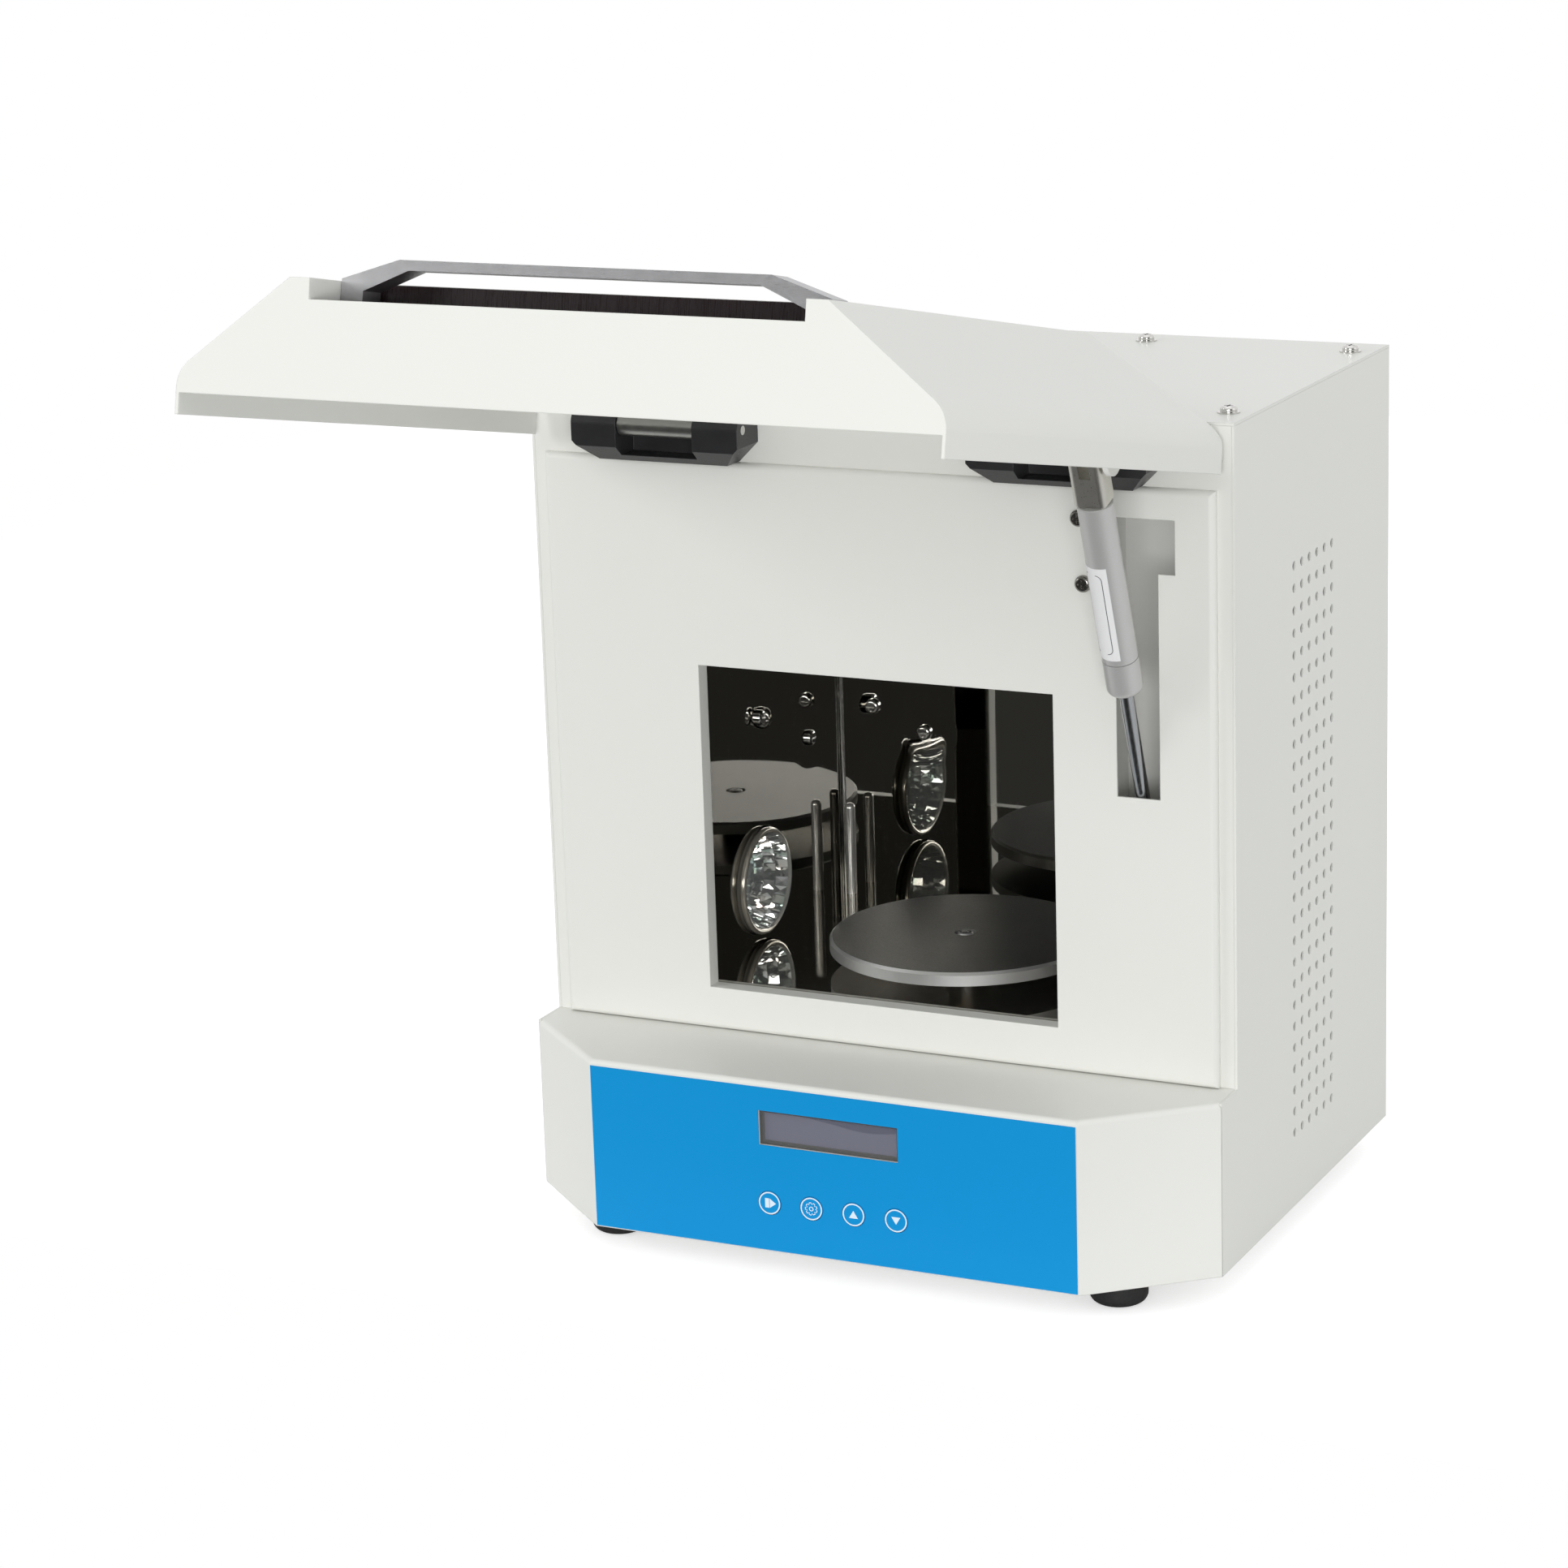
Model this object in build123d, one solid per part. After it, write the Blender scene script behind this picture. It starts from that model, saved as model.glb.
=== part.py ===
"""Dental lab light curing unit: a sheet-metal cabinet whose mirror-lined curing chamber holds a
turntable between two reflector lamps, under a lift-up hood held open by a gas strut.

Frame: X to the right as seen from the front, Y towards the back, Z up, millimetres. The design
frame has Y = 0 on the cabinet's front plane, X = 0 on its mid plane and Z = 0 on the table. At
the end every piece moves along Y together, so that the origin is the bottom centre of the box
round the unit with its hood up.
"""

import os
from math import atan2, cos, degrees, hypot, radians, sin, tan

from build123d import *

os.makedirs("parts", exist_ok=True)

# ---- driving dimensions: cabinet ----
foot_height = 12.6
foot_radius = 12.6
foot_inset_x = 43.0
foot_front_y = -29.4
foot_back_inset = 22.0
body_width = 325.0
body_height = 361.0
body_depth = 198.0
cover_sheet = 1.2
base_sheet = 1.5
side_lip = 16.0
back_lip = 24.0
frame_strip = 12.0
frame_return = 14.0
top_screw_inset = 10.5
top_screw_ends = 22.0
back_screw_x = 54.5
back_screw_inset = 17.7

# ---- console under the door ----
console_height = 77.0
console_side_forward = 19.3
console_face_forward = 61.2
console_face_half = 114.4
console_edge_radius = 2.5
label_margin = 0.6
label_thickness = 0.4

# ---- front panel with the chamber window and the strut slot ----
panel_proud = 4.2
panel_half_width = 155.0
panel_top = 333.0
panel_edge_radius = 2.5
panel_foot_gap = 0.3
window_half = 83.0
window_bottom = 96.6
window_top = 243.0
window_jamb = 8.0
slot_left = 111.5
slot_right = 130.6
slot_bottom = 201.3
slot_top = 320.3
slot_step = 297.4
slot_wide_right = 138.0
panel_screws_at = ((97.7, 291.4), (96.0, 319.0))

# ---- side vents: square pattern of round holes ----
vent_columns = 6
vent_rows = 27
vent_pitch = 9.74
vent_radius = 2.0
vent_front_y = 72.0
vent_bottom = 34.0

# ---- chamber of mirror-polished sheet ----
chamber_half = 92.8
chamber_back_gap = 40.7
chamber_floor = 97.5
chamber_top = 262.0
mirror_sheet = 1.0
chamber_clearance = 0.3
wall_screws = ((72.3, 200.2), (123.7, 178.2))
rear_screws = ((-75.5, 186.6), (-49.3, 176.1))
post_x = 80.0
post_front_y = 22.0
post_back_inset = 32.0
post_radius = 4.0

# ---- turntable and its drive ----
table_x = 9.9
table_y = 65.8
table_radius = 60.8
table_thickness = 6.0
table_height = 13.8
table_edge_radius = 1.2
table_boss_radius = 8.0
table_recess_radius = 4.9
table_recess_depth = 2.0
shaft_radius = 3.0
shaft_play = 0.05
bush_flange_radius = 10.0
bush_radius = 6.5
bush_flange = 1.5
bush_length = 5.0
bush_play = 0.3
motor_radius = 25.0
motor_length = 40.0
shaft_engagement = 14.0

# ---- reflector lamps ----
lamp_radius = 24.7
lamp_depth = 36.0
lamp_neck_radius = 8.0
lamp_neck_length = 8.0
lamp_wall = 1.6
lamp_glass = 1.6
lamp_glass_inset = 1.2
lamp_glass_play = 0.2
lamp_y = 69.2
lamp_height = 124.4
lamp_proud = 6.0
lamp_hole_clearance = 0.4
lamp_curve_steps = 8
bulb_radius = 4.5
bulb_length = 18.0
socket_size = 18.0
socket_depth = 14.0
bracket_half_width = 12.0
bracket_rise = 29.5
bracket_foot = 12.0
bracket_sheet = 1.5

# ---- temperature probe ----
probe_x = -84.0
probe_inset = 10.3
probe_radius = 2.5
probe_height = 44.0
probe_nut_radius = 5.0
probe_nut = 3.0

# ---- back panel: fan, mains inlet, rocker, supply ----
fan_size = 80.0
fan_depth = 25.0
fan_x = 60.0
fan_z = 225.0
fan_bore_radius = 37.5
fan_hub_radius = 17.0
fan_tip_clearance = 1.2
fan_blades = 7
fan_blade_tilt = 35.0
fan_blade_sheet = 1.6
fan_arm_width = 7.0
fan_plate = 3.0
fan_hub_gap = 1.0
fan_shaft_radius = 2.0
fan_screw_spacing = 71.5
guard_pitch = 7.0
guard_hole_radius = 2.3
inlet_width = 27.6
inlet_height = 20.0
inlet_x = -110.0
inlet_z = 60.0
inlet_flange = 50.0
inlet_flange_height = 24.0
inlet_flange_sheet = 2.0
inlet_depth = 24.0
inlet_recess = 16.0
inlet_blade_length = 12.0
inlet_wall = 2.0
inlet_screw_offset = 20.0
rocker_x = -62.0
rocker_width = 16.0
rocker_radius = 7.5
rocker_inset = 2.0
rocker_clearance = 0.3
rocker_wall = 2.0
rocker_flange = 2.0
rocker_flange_sheet = 1.6
rocker_depth = 20.0
rocker_tilt = 8.0
rocker_dish_radius = 14.0
supply_width = 98.0
supply_depth = 100.0
supply_height = 38.0
supply_x = 20.0
supply_back_gap = 12.0
supply_foot = 3.0
supply_foot_size = 13.0
supply_foot_inset = 4.0
supply_edge_radius = 1.5
supply_slots = 9
supply_slot_inset = 12.0
supply_slot_pitch = 9.0
supply_slot_width = 4.0
supply_slot_end = 16.0

# ---- control panel ----
lcd_width = 65.4
lcd_height = 15.6
lcd_z = 56.2
lcd_lens = 1.0
lcd_lens_margin = 3.0
lcd_body_width = 71.0
lcd_body_height = 24.0
lcd_body = 7.0
lcd_board_width = 80.0
lcd_board_height = 36.0
board_sheet = 1.6
key_radius = 5.25
key_pitch = 19.9
key_first_x = -28.5
key_z = 22.3
key_clearance = 0.25
key_travel = 0.6
key_proud = 0.25
key_length = 6.0
key_collar = 1.2
key_collar_sheet = 1.0
key_edge_radius = 0.5
switch_size = 6.0
switch_depth = 4.0
switch_gap = 0.65
board_half_width = 46.0
board_part_drop = 2.5
chip_size = 14.0
chip_height = 2.0
socket_x = 30.0
plug_socket_width = 18.0
plug_socket_height = 8.0
board_height = 27.0
standoff_radius = 3.0
standoff_inset = 5.0

# ---- hood (door), modelled closed and then lifted ----
door_half_width = 158.8
door_face_half = 110.8
door_fold_y = -23.9
door_slope_y = -21.0
door_sheet = 1.4
door_bottom_gap = 3.0
door_top = 359.6
door_face_top = 325.0
door_face_inset = 0.4
door_back_y = -7.4
door_cap_back_y = -15.6
door_fold_radius = 13.0
door_open_angle = 101.8
hinge_y = -14.15
hinge_height = 349.6

# ---- hinges ----
hinge_centre = 92.2
hinge_width = 79.5
hinge_base_front = 12.0
hinge_base_bevel = 7.0
hinge_base_gap = 0.3
hinge_end_bevel = 9.0
hinge_knuckle_radius = 6.0
hinge_leaf_half = 18.0
hinge_leaf_knuckle = 5.0
hinge_pin_radius = 2.0
hinge_play = 0.3
hinge_floor = 3.0
hinge_back_wall = 4.0
pin_play = 0.05
leaf_sheet = 2.0
leaf_length = 32.0
leaf_start = 2.0

# ---- handle and its finger recess ----
recess_half = 102.2
recess_length = 40.0
recess_depth = 8.0
recess_gap = 0.3
recess_plate_sheet = 2.0
recess_plate_lap = 8.0
handle_bar_half = 77.3
handle_rise = 8.8
handle_shoulder = 1.0
handle_knee = 3.4
handle_sheet = 3.9
handle_inset = 4.2
handle_foot_width = 9.4
handle_start = 22.3
handle_width = 13.0

# ---- gas strut ----
strut_x = 121.05
strut_top_y = -12.2
strut_top_height = 307.3
strut_low_y = 16.6
strut_low_height = 157.0
strut_radius = 7.5
strut_bore = 6.3
strut_rod_radius = 3.0
strut_slide_play = 0.05
strut_head_length = 22.0
strut_body_length = 90.6
strut_cap_length = 16.5
strut_cap_radius = 7.6
strut_cap_round = 3.0
strut_gland = 6.0
strut_plug = 4.0
strut_piston = 8.0
strut_piston_reach = 2.0
strut_label_inset = 3.0
strut_label_length = 44.0
strut_label_sheet = 0.2
strut_label_arc = 110.0
strut_fork_width = 14.0
strut_fork_depth = 12.0
strut_fork_slot = 5.0
strut_fork_slot_depth = 14.0
strut_eye_radius = 6.0
strut_eye_thickness = 7.0
strut_neck_radius = 4.5
strut_neck_length = 14.0
strut_pin_radius = 3.0
strut_pin_gap = 0.3
strut_pin_reach = 1.95
door_bracket_sheet = 2.5
door_bracket_half = 8.0
door_bracket_foot = 14.0
anchor_sheet = 2.5
anchor_half_height = 10.0
anchor_reach = 14.0
anchor_foot = 14.0
anchor_gap = 0.3
anchor_rivet_radius = 2.0
channel_inset = 10.3
channel_depth = 36.0
channel_foot = 137.0

# ---- screws ----
screw_head_radius = 3.6
screw_head_height = 2.4
screw_radius = 1.9
screw_length = 6.0
washer_radius = 4.8
washer_thickness = 0.6
screw_clearance = 0.25

# ---- derived places ----
chamber_back = body_depth - chamber_back_gap
probe_y = chamber_back - probe_inset
half_width = body_width / 2
inner_half = half_width - cover_sheet
base_z = foot_height
roof_z = base_z + body_height
ledge_z = base_z + console_height
panel_front_y = -panel_proud
panel_z0 = ledge_z + panel_foot_gap
chamber_floor_z = base_z + chamber_floor
chamber_top_z = base_z + chamber_top
chamber_front_y = panel_front_y + window_jamb + chamber_clearance
face_y = -console_face_forward
face_in = face_y + cover_sheet
door_face_y = face_y + door_face_inset
door_z0 = ledge_z + door_bottom_gap
door_z1 = base_z + door_top
door_face_z1 = base_z + door_face_top
hinge_z = base_z + hinge_height
lamp_z = base_z + lamp_height
fan_centre_z = base_z + fan_z
inlet_centre_z = base_z + inlet_z
lcd_centre_z = base_z + lcd_z
key_centre_z = base_z + key_z
table_top_z = chamber_floor_z + table_height


def block(x0, x1, y0, y1, z0, z1):
    """A box given by its limits."""
    middle = Pos((x0 + x1) / 2, (y0 + y1) / 2, (z0 + z1) / 2)
    return middle * Box(x1 - x0, y1 - y0, z1 - z0)


def prism_x(points, x0, x1):
    """A (y, z) outline stretched along X."""
    face = Plane.YZ.offset(x0) * make_face(Polyline(*points, close=True))
    return extrude(face, x1 - x0)


def prism_y(points, y0, y1):
    """An (x, z) outline stretched along Y."""
    face = Plane.XZ.offset(-y0) * make_face(Polyline(*points, close=True))
    return extrude(face, -(y1 - y0))


def prism_z(points, z0, z1):
    """An (x, y) outline stretched along Z."""
    face = Pos(0, 0, z0) * make_face(Polyline(*points, close=True))
    return extrude(face, z1 - z0)


def rod(start, end, radius):
    """A round bar between two points."""
    start, end = Vector(*start), Vector(*end)
    plane = Plane(origin=start, z_dir=end - start)
    return extrude(plane * Circle(radius), (end - start).length)


def pan_screw(head, direction, washer=False):
    """A pan-head machine screw whose head sits at a point and whose shank runs along direction."""
    seat = Plane(origin=head, z_dir=direction)
    lift = washer_thickness if washer else 0
    dome = Pos(0, 0, -lift - screw_head_height / 2) * Cylinder(screw_head_radius, screw_head_height)
    dome = fillet(dome.edges().sort_by(Axis.Z)[0], screw_head_height * 0.6)
    slot = Pos(0, 0, -lift - screw_head_height) * (
        Box(screw_head_radius * 1.1, 0.8, 1.6) + Box(0.8, screw_head_radius * 1.1, 1.6)
    )
    shank = Pos(0, 0, (screw_length - lift) / 2) * Cylinder(screw_radius, screw_length + lift)
    screw = dome - slot + shank
    if washer:
        screw += Pos(0, 0, -lift / 2) * Cylinder(washer_radius, washer_thickness)
    return seat * screw


# ---- cabinet shell ----
def side_outline():
    """The side sheet's (y, z) outline: the cabinet with the console's nose at its foot."""
    return [
        (0, roof_z - cover_sheet),
        (body_depth, roof_z - cover_sheet),
        (body_depth, base_z),
        (-console_side_forward, base_z),
        (-console_side_forward, ledge_z),
        (0, ledge_z),
    ]


def side_panel(side):
    """One outer side sheet; the right one carries the vents."""
    x_out = side * half_width
    x_in = side * (half_width - cover_sheet)
    sheet = prism_x(side_outline(), min(x_in, x_out), max(x_in, x_out))
    lip = block(
        min(x_in, x_in - side * side_lip),
        max(x_in, x_in - side * side_lip),
        frame_return + cover_sheet,
        body_depth - cover_sheet,
        roof_z - 2 * cover_sheet,
        roof_z - cover_sheet,
    )
    sheet += lip
    for y in top_screw_rows():
        sheet -= rod((side * top_screw_x(), y, roof_z - 3 * cover_sheet), (side * top_screw_x(), y, roof_z),
                     screw_radius + screw_clearance)
    if side > 0:
        holes = [
            Pos(x_out, vent_front_y + column * vent_pitch, base_z + vent_bottom + row * vent_pitch)
            * Rot(0, 90, 0)
            * Cylinder(vent_radius, 4 * cover_sheet)
            for column in range(vent_columns)
            for row in range(vent_rows)
        ]
        sheet -= holes
    return sheet


def top_screw_x():
    return half_width - top_screw_inset


def top_screw_rows():
    return (top_screw_ends, body_depth - top_screw_ends)


def top_screw_places():
    """Four screws over the side lips and two over the back lip."""
    places = [(side * top_screw_x(), y) for side in (-1, 1) for y in top_screw_rows()]
    return places + [(side * back_screw_x, body_depth - back_screw_inset) for side in (-1, 1)]


def top_screws():
    return [pan_screw((x, y, roof_z), (0, 0, -1), washer=True) for x, y in top_screw_places()]


def top_cover():
    sheet = block(-half_width, half_width, 0, body_depth, roof_z - cover_sheet, roof_z)
    for x, y in top_screw_places():
        sheet -= rod((x, y, roof_z - 2 * cover_sheet), (x, y, roof_z + 1), screw_radius + screw_clearance)
    return sheet


def back_panel():
    """The back sheet with its top lip, the fan's perforated field and the mains openings."""
    y0, y1 = body_depth - cover_sheet, body_depth
    sheet = block(-inner_half, inner_half, y0, y1, base_z, roof_z - cover_sheet)
    lip_half = inner_half - side_lip - cover_sheet
    sheet += block(-lip_half, lip_half, y0 - back_lip, y0, roof_z - 2 * cover_sheet, roof_z - cover_sheet)
    for side in (-1, 1):
        place = (side * back_screw_x, body_depth - back_screw_inset)
        sheet -= rod((*place, roof_z - 3 * cover_sheet), (*place, roof_z), screw_radius + screw_clearance)
    reach = int(fan_bore_radius / guard_pitch)
    holes = []
    for row in range(-reach, reach + 1):
        for column in range(-reach, reach + 1):
            x, z = column * guard_pitch, row * guard_pitch
            if hypot(x, z) + guard_hole_radius <= fan_bore_radius:
                holes.append(back_hole(fan_x + x, fan_centre_z + z, guard_hole_radius))
    for x, z in fan_screw_places():
        holes.append(back_hole(x, z, screw_radius + screw_clearance))
    for side in (-1, 1):
        holes.append(back_hole(inlet_x + side * inlet_screw_offset, inlet_centre_z,
                               screw_radius + screw_clearance))
    sheet -= holes
    sheet -= centred_block(inlet_x, inlet_centre_z, inlet_width, inlet_height, y0 - 1, y1 + 1)
    sheet -= centred_block(rocker_x, inlet_centre_z, rocker_case_width(), rocker_case_height(), y0 - 1, y1 + 1)
    return sheet


def centred_block(x, z, width, height, y0, y1):
    """A box along Y round a point of the (x, z) plane."""
    return block(x - width / 2, x + width / 2, y0, y1, z - height / 2, z + height / 2)


def rocker_case_width():
    return rocker_width + 2 * (rocker_clearance + rocker_wall)


def rocker_case_height():
    return 2 * (rocker_radius + rocker_clearance + rocker_wall)


def back_hole(x, z, radius):
    return rod((x, body_depth - 3 * cover_sheet, z), (x, body_depth + 2 * inlet_flange_sheet, z), radius)


def fan_screw_places():
    offset = fan_screw_spacing / 2
    return [(fan_x + i * offset, fan_centre_z + k * offset) for i in (-1, 1) for k in (-1, 1)]


def base_plate():
    """The bottom sheet, which fills the plan inside the console, the sides and the back."""
    outline = console_outline(cover_sheet, body_depth - cover_sheet)
    plate = prism_z(outline, base_z, base_z + base_sheet)
    for x, y in foot_places():
        plate -= rod((x, y, base_z - 1), (x, y, base_z + base_sheet + 1), screw_radius + screw_clearance)
    return plate


def foot_places():
    x = half_width - foot_inset_x
    return [(side * x, y) for side in (-1, 1) for y in (foot_front_y, body_depth - foot_back_inset)]


def feet():
    """Rubber feet: turned, slightly tapered, with a counterbore for the screw."""
    made = []
    for x, y in foot_places():
        foot = Pos(x, y, foot_height / 2) * Cylinder(foot_radius, foot_height)
        foot = fillet(foot.edges().sort_by(Axis.Z)[0], foot_height / 3)
        foot -= Pos(x, y, foot_height / 4) * Cylinder(screw_head_radius + 1.4, foot_height / 2)
        foot -= Pos(x, y, foot_height) * Cylinder(screw_radius + screw_clearance, foot_height)
        made.append(foot)
    return made


def foot_screws():
    return [pan_screw((x, y, foot_height / 2), (0, 0, 1)) for x, y in foot_places()]


def console_outline(inset, back):
    """The console's (x, y) plan, all of it inset by a wall, and open to a line at the back."""
    turn = atan2(console_face_forward - console_side_forward, half_width - console_face_half)
    face_half = console_face_half - inset * tan(turn / 2)
    fold_y = -console_side_forward + inset * tan((radians(90) - turn) / 2)
    side = half_width - inset
    return [
        (-side, back),
        (-side, fold_y),
        (-face_half, face_y + inset),
        (face_half, face_y + inset),
        (side, fold_y),
        (side, back),
    ]


def console_shell():
    """The chamfered nose under the door, one folded sheet with its ledge on top."""
    back = -console_side_forward
    solid = prism_z(console_outline(0, 0), base_z, ledge_z)
    front_top = [
        edge
        for edge in solid.edges()
        if abs(edge.center().Z - ledge_z) < 0.01
        and edge.center().Y < back + 0.01
        and abs(edge.center().X) < half_width - 0.01
    ]
    solid = fillet(front_top, console_edge_radius)
    hollow = prism_z(console_outline(cover_sheet, 1), base_z - 1, ledge_z - cover_sheet)
    solid -= hollow
    for side in (-1, 1):
        solid -= block(min(side * half_width, side * (half_width - cover_sheet)),
                       max(side * half_width, side * (half_width - cover_sheet)),
                       back, 1, base_z - 1, ledge_z + 1)
    solid -= centred_block(0, lcd_centre_z, lcd_width, lcd_height, face_y - 1, face_y + 2 * cover_sheet)
    for x in key_places():
        solid -= rod((x, face_y - 1, key_centre_z), (x, face_y + 2 * cover_sheet, key_centre_z),
                     key_radius + key_clearance)
    return solid


def key_places():
    return [key_first_x + index * key_pitch for index in range(4)]


def panel_label():
    """The printed overlay on the console's face, cut out for the display and the keys."""
    half = console_face_half - label_margin
    top = ledge_z - console_edge_radius
    label = block(-half, half, face_y - label_thickness, face_y, base_z + label_margin, top)
    label -= centred_block(0, lcd_centre_z, lcd_width, lcd_height, face_y - 1, face_y + 1)
    for x in key_places():
        label -= rod((x, face_y - 1, key_centre_z), (x, face_y + 1, key_centre_z), key_radius + key_clearance)
    return label


# ---- front frame and panel ----
def front_frame():
    """The strip round the front opening, with a return under the top cover."""
    top = roof_z - cover_sheet
    ring = block(-inner_half, inner_half, 0, cover_sheet, ledge_z, top)
    ring -= block(-inner_half + frame_strip, inner_half - frame_strip, -1, 2, ledge_z + frame_strip,
                  base_z + panel_top - frame_strip)
    return ring + block(-inner_half, inner_half, 0, frame_return, top - cover_sheet, top)


def front_panel():
    """The proud pan that closes the front, with folded jambs round the chamber's window."""
    y0 = panel_front_y
    top = base_z + panel_top
    pan = block(-panel_half_width, panel_half_width, y0, 0, panel_z0, top)
    pan = fillet(pan.faces().sort_by(Axis.Y)[0].edges(), panel_edge_radius)
    pan -= block(-panel_half_width + cover_sheet, panel_half_width - cover_sheet, y0 + cover_sheet, 1,
                 panel_z0 + cover_sheet, top - cover_sheet)
    z0, z1 = base_z + window_bottom, base_z + window_top
    jamb = block(-window_half - cover_sheet, window_half + cover_sheet, y0 + cover_sheet, y0 + window_jamb,
                 z0 - cover_sheet, z1 + cover_sheet)
    pan += jamb
    pan -= block(-window_half, window_half, y0 - 1, y0 + window_jamb + 1, z0, z1)
    slot = [
        (slot_left, base_z + slot_bottom),
        (slot_right, base_z + slot_bottom),
        (slot_right, base_z + slot_step),
        (slot_wide_right, base_z + slot_step),
        (slot_wide_right, base_z + slot_top),
        (slot_left, base_z + slot_top),
    ]
    pan -= prism_y(slot, y0 - 1, 1)
    for x, height in panel_screws_at:
        pan -= rod((x, y0 - 1, base_z + height), (x, 1, base_z + height), screw_radius + screw_clearance)
    return pan


def panel_screws():
    return [pan_screw((x, panel_front_y, base_z + height), (0, 1, 0)) for x, height in panel_screws_at]


# ---- chamber ----
def chamber_walls():
    """Mirror-polished sheets butted at their edges, with a rim behind the window."""
    sheet = mirror_sheet
    front, back = chamber_front_y + sheet, chamber_back
    low, high = chamber_floor_z, chamber_top_z
    side = chamber_half
    margin = cover_sheet + chamber_clearance
    rim = block(-side - sheet, side + sheet, chamber_front_y, front, low - sheet, high + sheet)
    rim -= block(-window_half - margin, window_half + margin, front - 2, front + 1, low,
                 base_z + window_top + margin)
    floor = block(-side - sheet, side + sheet, front, back + sheet, low - sheet, low)
    floor -= rod((table_x, table_y, low - 2), (table_x, table_y, low + 1), bush_radius)
    floor -= rod((probe_x, probe_y, low - 2), (probe_x, probe_y, low + 1), probe_radius)
    ceiling = block(-side - sheet, side + sheet, front, back + sheet, high, high + sheet)
    rear = block(-side - sheet, side + sheet, back, back + sheet, low, high)
    left = block(-side - sheet, -side, front, back, low, high)
    right = block(side, side + sheet, front, back, low, high)
    hole = lamp_radius + lamp_hole_clearance
    left -= rod((-side - 2, lamp_y, lamp_z), (-side + 1, lamp_y, lamp_z), hole)
    right -= rod((side - 1, lamp_y, lamp_z), (side + 2, lamp_y, lamp_z), hole)
    through = screw_radius + screw_clearance
    for y, z in wall_screws:
        left -= rod((-side - 2, y, base_z + z), (-side + 1, y, base_z + z), through)
    for x, z in rear_screws:
        rear -= rod((x, back - 1, base_z + z), (x, back + 2, base_z + z), through)
    return {
        "chamber_rim": rim,
        "chamber_floor": floor,
        "chamber_ceiling": ceiling,
        "chamber_back_wall": rear,
        "chamber_side_walls": [left, right],
    }


def chamber_screws():
    made = [pan_screw((-chamber_half, y, base_z + z), (-1, 0, 0)) for y, z in wall_screws]
    return made + [pan_screw((x, chamber_back, base_z + z), (0, 1, 0)) for x, z in rear_screws]


def chamber_posts():
    """Four posts that carry the chamber on the bottom sheet."""
    low, high = base_z + base_sheet, chamber_floor_z - mirror_sheet
    places = [(side * post_x, y) for side in (-1, 1) for y in (post_front_y, chamber_back - post_back_inset)]
    return [rod((x, y, low), (x, y, high), post_radius) for x, y in places]


# ---- turntable and its drive ----
def turntable():
    """The disc with its boss, bored for the drive shaft."""
    disc = Pos(table_x, table_y, table_top_z - table_thickness / 2) * Cylinder(table_radius, table_thickness)
    disc = chamfer(disc.faces().sort_by(Axis.Z)[-1].edges(), table_edge_radius)
    low = chamber_floor_z + bush_flange + bush_play
    disc += rod((table_x, table_y, low), (table_x, table_y, table_top_z - table_thickness), table_boss_radius)
    disc -= rod((table_x, table_y, table_top_z - table_recess_depth), (table_x, table_y, table_top_z + 1),
                table_recess_radius)
    return disc - rod((table_x, table_y, low - 1), (table_x, table_y, shaft_top()), shaft_radius)


def shaft_top():
    return table_top_z - table_thickness / 2


def motor_top():
    return chamber_floor_z - mirror_sheet


def shaft_foot():
    return motor_top() - bush_length - shaft_engagement


def turntable_shaft():
    return rod((table_x, table_y, shaft_foot()), (table_x, table_y, shaft_top()), shaft_radius)


def turntable_cap():
    """The screw head in the counterbore in the middle of the disc."""
    seat = table_top_z - table_recess_depth
    cap = Pos(table_x, table_y, seat + screw_head_height / 2) * Cylinder(screw_head_radius, screw_head_height)
    cap = fillet(cap.faces().sort_by(Axis.Z)[-1].edges(), screw_head_height * 0.6)
    slot = Pos(table_x, table_y, seat + screw_head_height)
    return cap - slot * Box(screw_head_radius, 0.8, 1.6) - slot * Box(0.8, screw_head_radius, 1.6)


def turntable_bush():
    """The flanged bearing in the chamber floor."""
    low = motor_top() - bush_length
    bush = rod((table_x, table_y, low), (table_x, table_y, chamber_floor_z), bush_radius)
    bush += rod((table_x, table_y, chamber_floor_z), (table_x, table_y, chamber_floor_z + bush_flange),
                bush_flange_radius)
    high = chamber_floor_z + bush_flange + 1
    return bush - rod((table_x, table_y, low - 1), (table_x, table_y, high), shaft_radius + shaft_play)


def turntable_gearmotor():
    """The round gearmotor under the floor, with its gearbox step and a connector block."""
    top = motor_top()
    middle = top - motor_length / 2
    body = rod((table_x, table_y, middle), (table_x, table_y, top), motor_radius)
    body += rod((table_x, table_y, top - motor_length), (table_x, table_y, middle), motor_radius * 0.86)
    body = fillet(body.edges().group_by(Axis.Z)[0], 1.5)
    body += block(table_x - 8, table_x + 8, table_y + motor_radius * 0.8, table_y + motor_radius + 6,
                  middle + 2, middle + 12)
    low = top - bush_length
    body -= rod((table_x, table_y, low), (table_x, table_y, top + 1), bush_radius + bush_play)
    return body - rod((table_x, table_y, shaft_foot() - bush_play), (table_x, table_y, top),
                      shaft_radius + shaft_play)


def probe():
    """The domed steel post in the chamber's back left corner, with its nut under the floor."""
    top = chamber_floor_z + probe_height
    post = rod((probe_x, probe_y, chamber_floor_z - mirror_sheet), (probe_x, probe_y, top), probe_radius)
    post = fillet(post.faces().sort_by(Axis.Z)[-1].edges(), probe_radius * 0.9)
    low = chamber_floor_z - mirror_sheet
    return post + rod((probe_x, probe_y, low - probe_nut), (probe_x, probe_y, low), probe_nut_radius)


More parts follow.
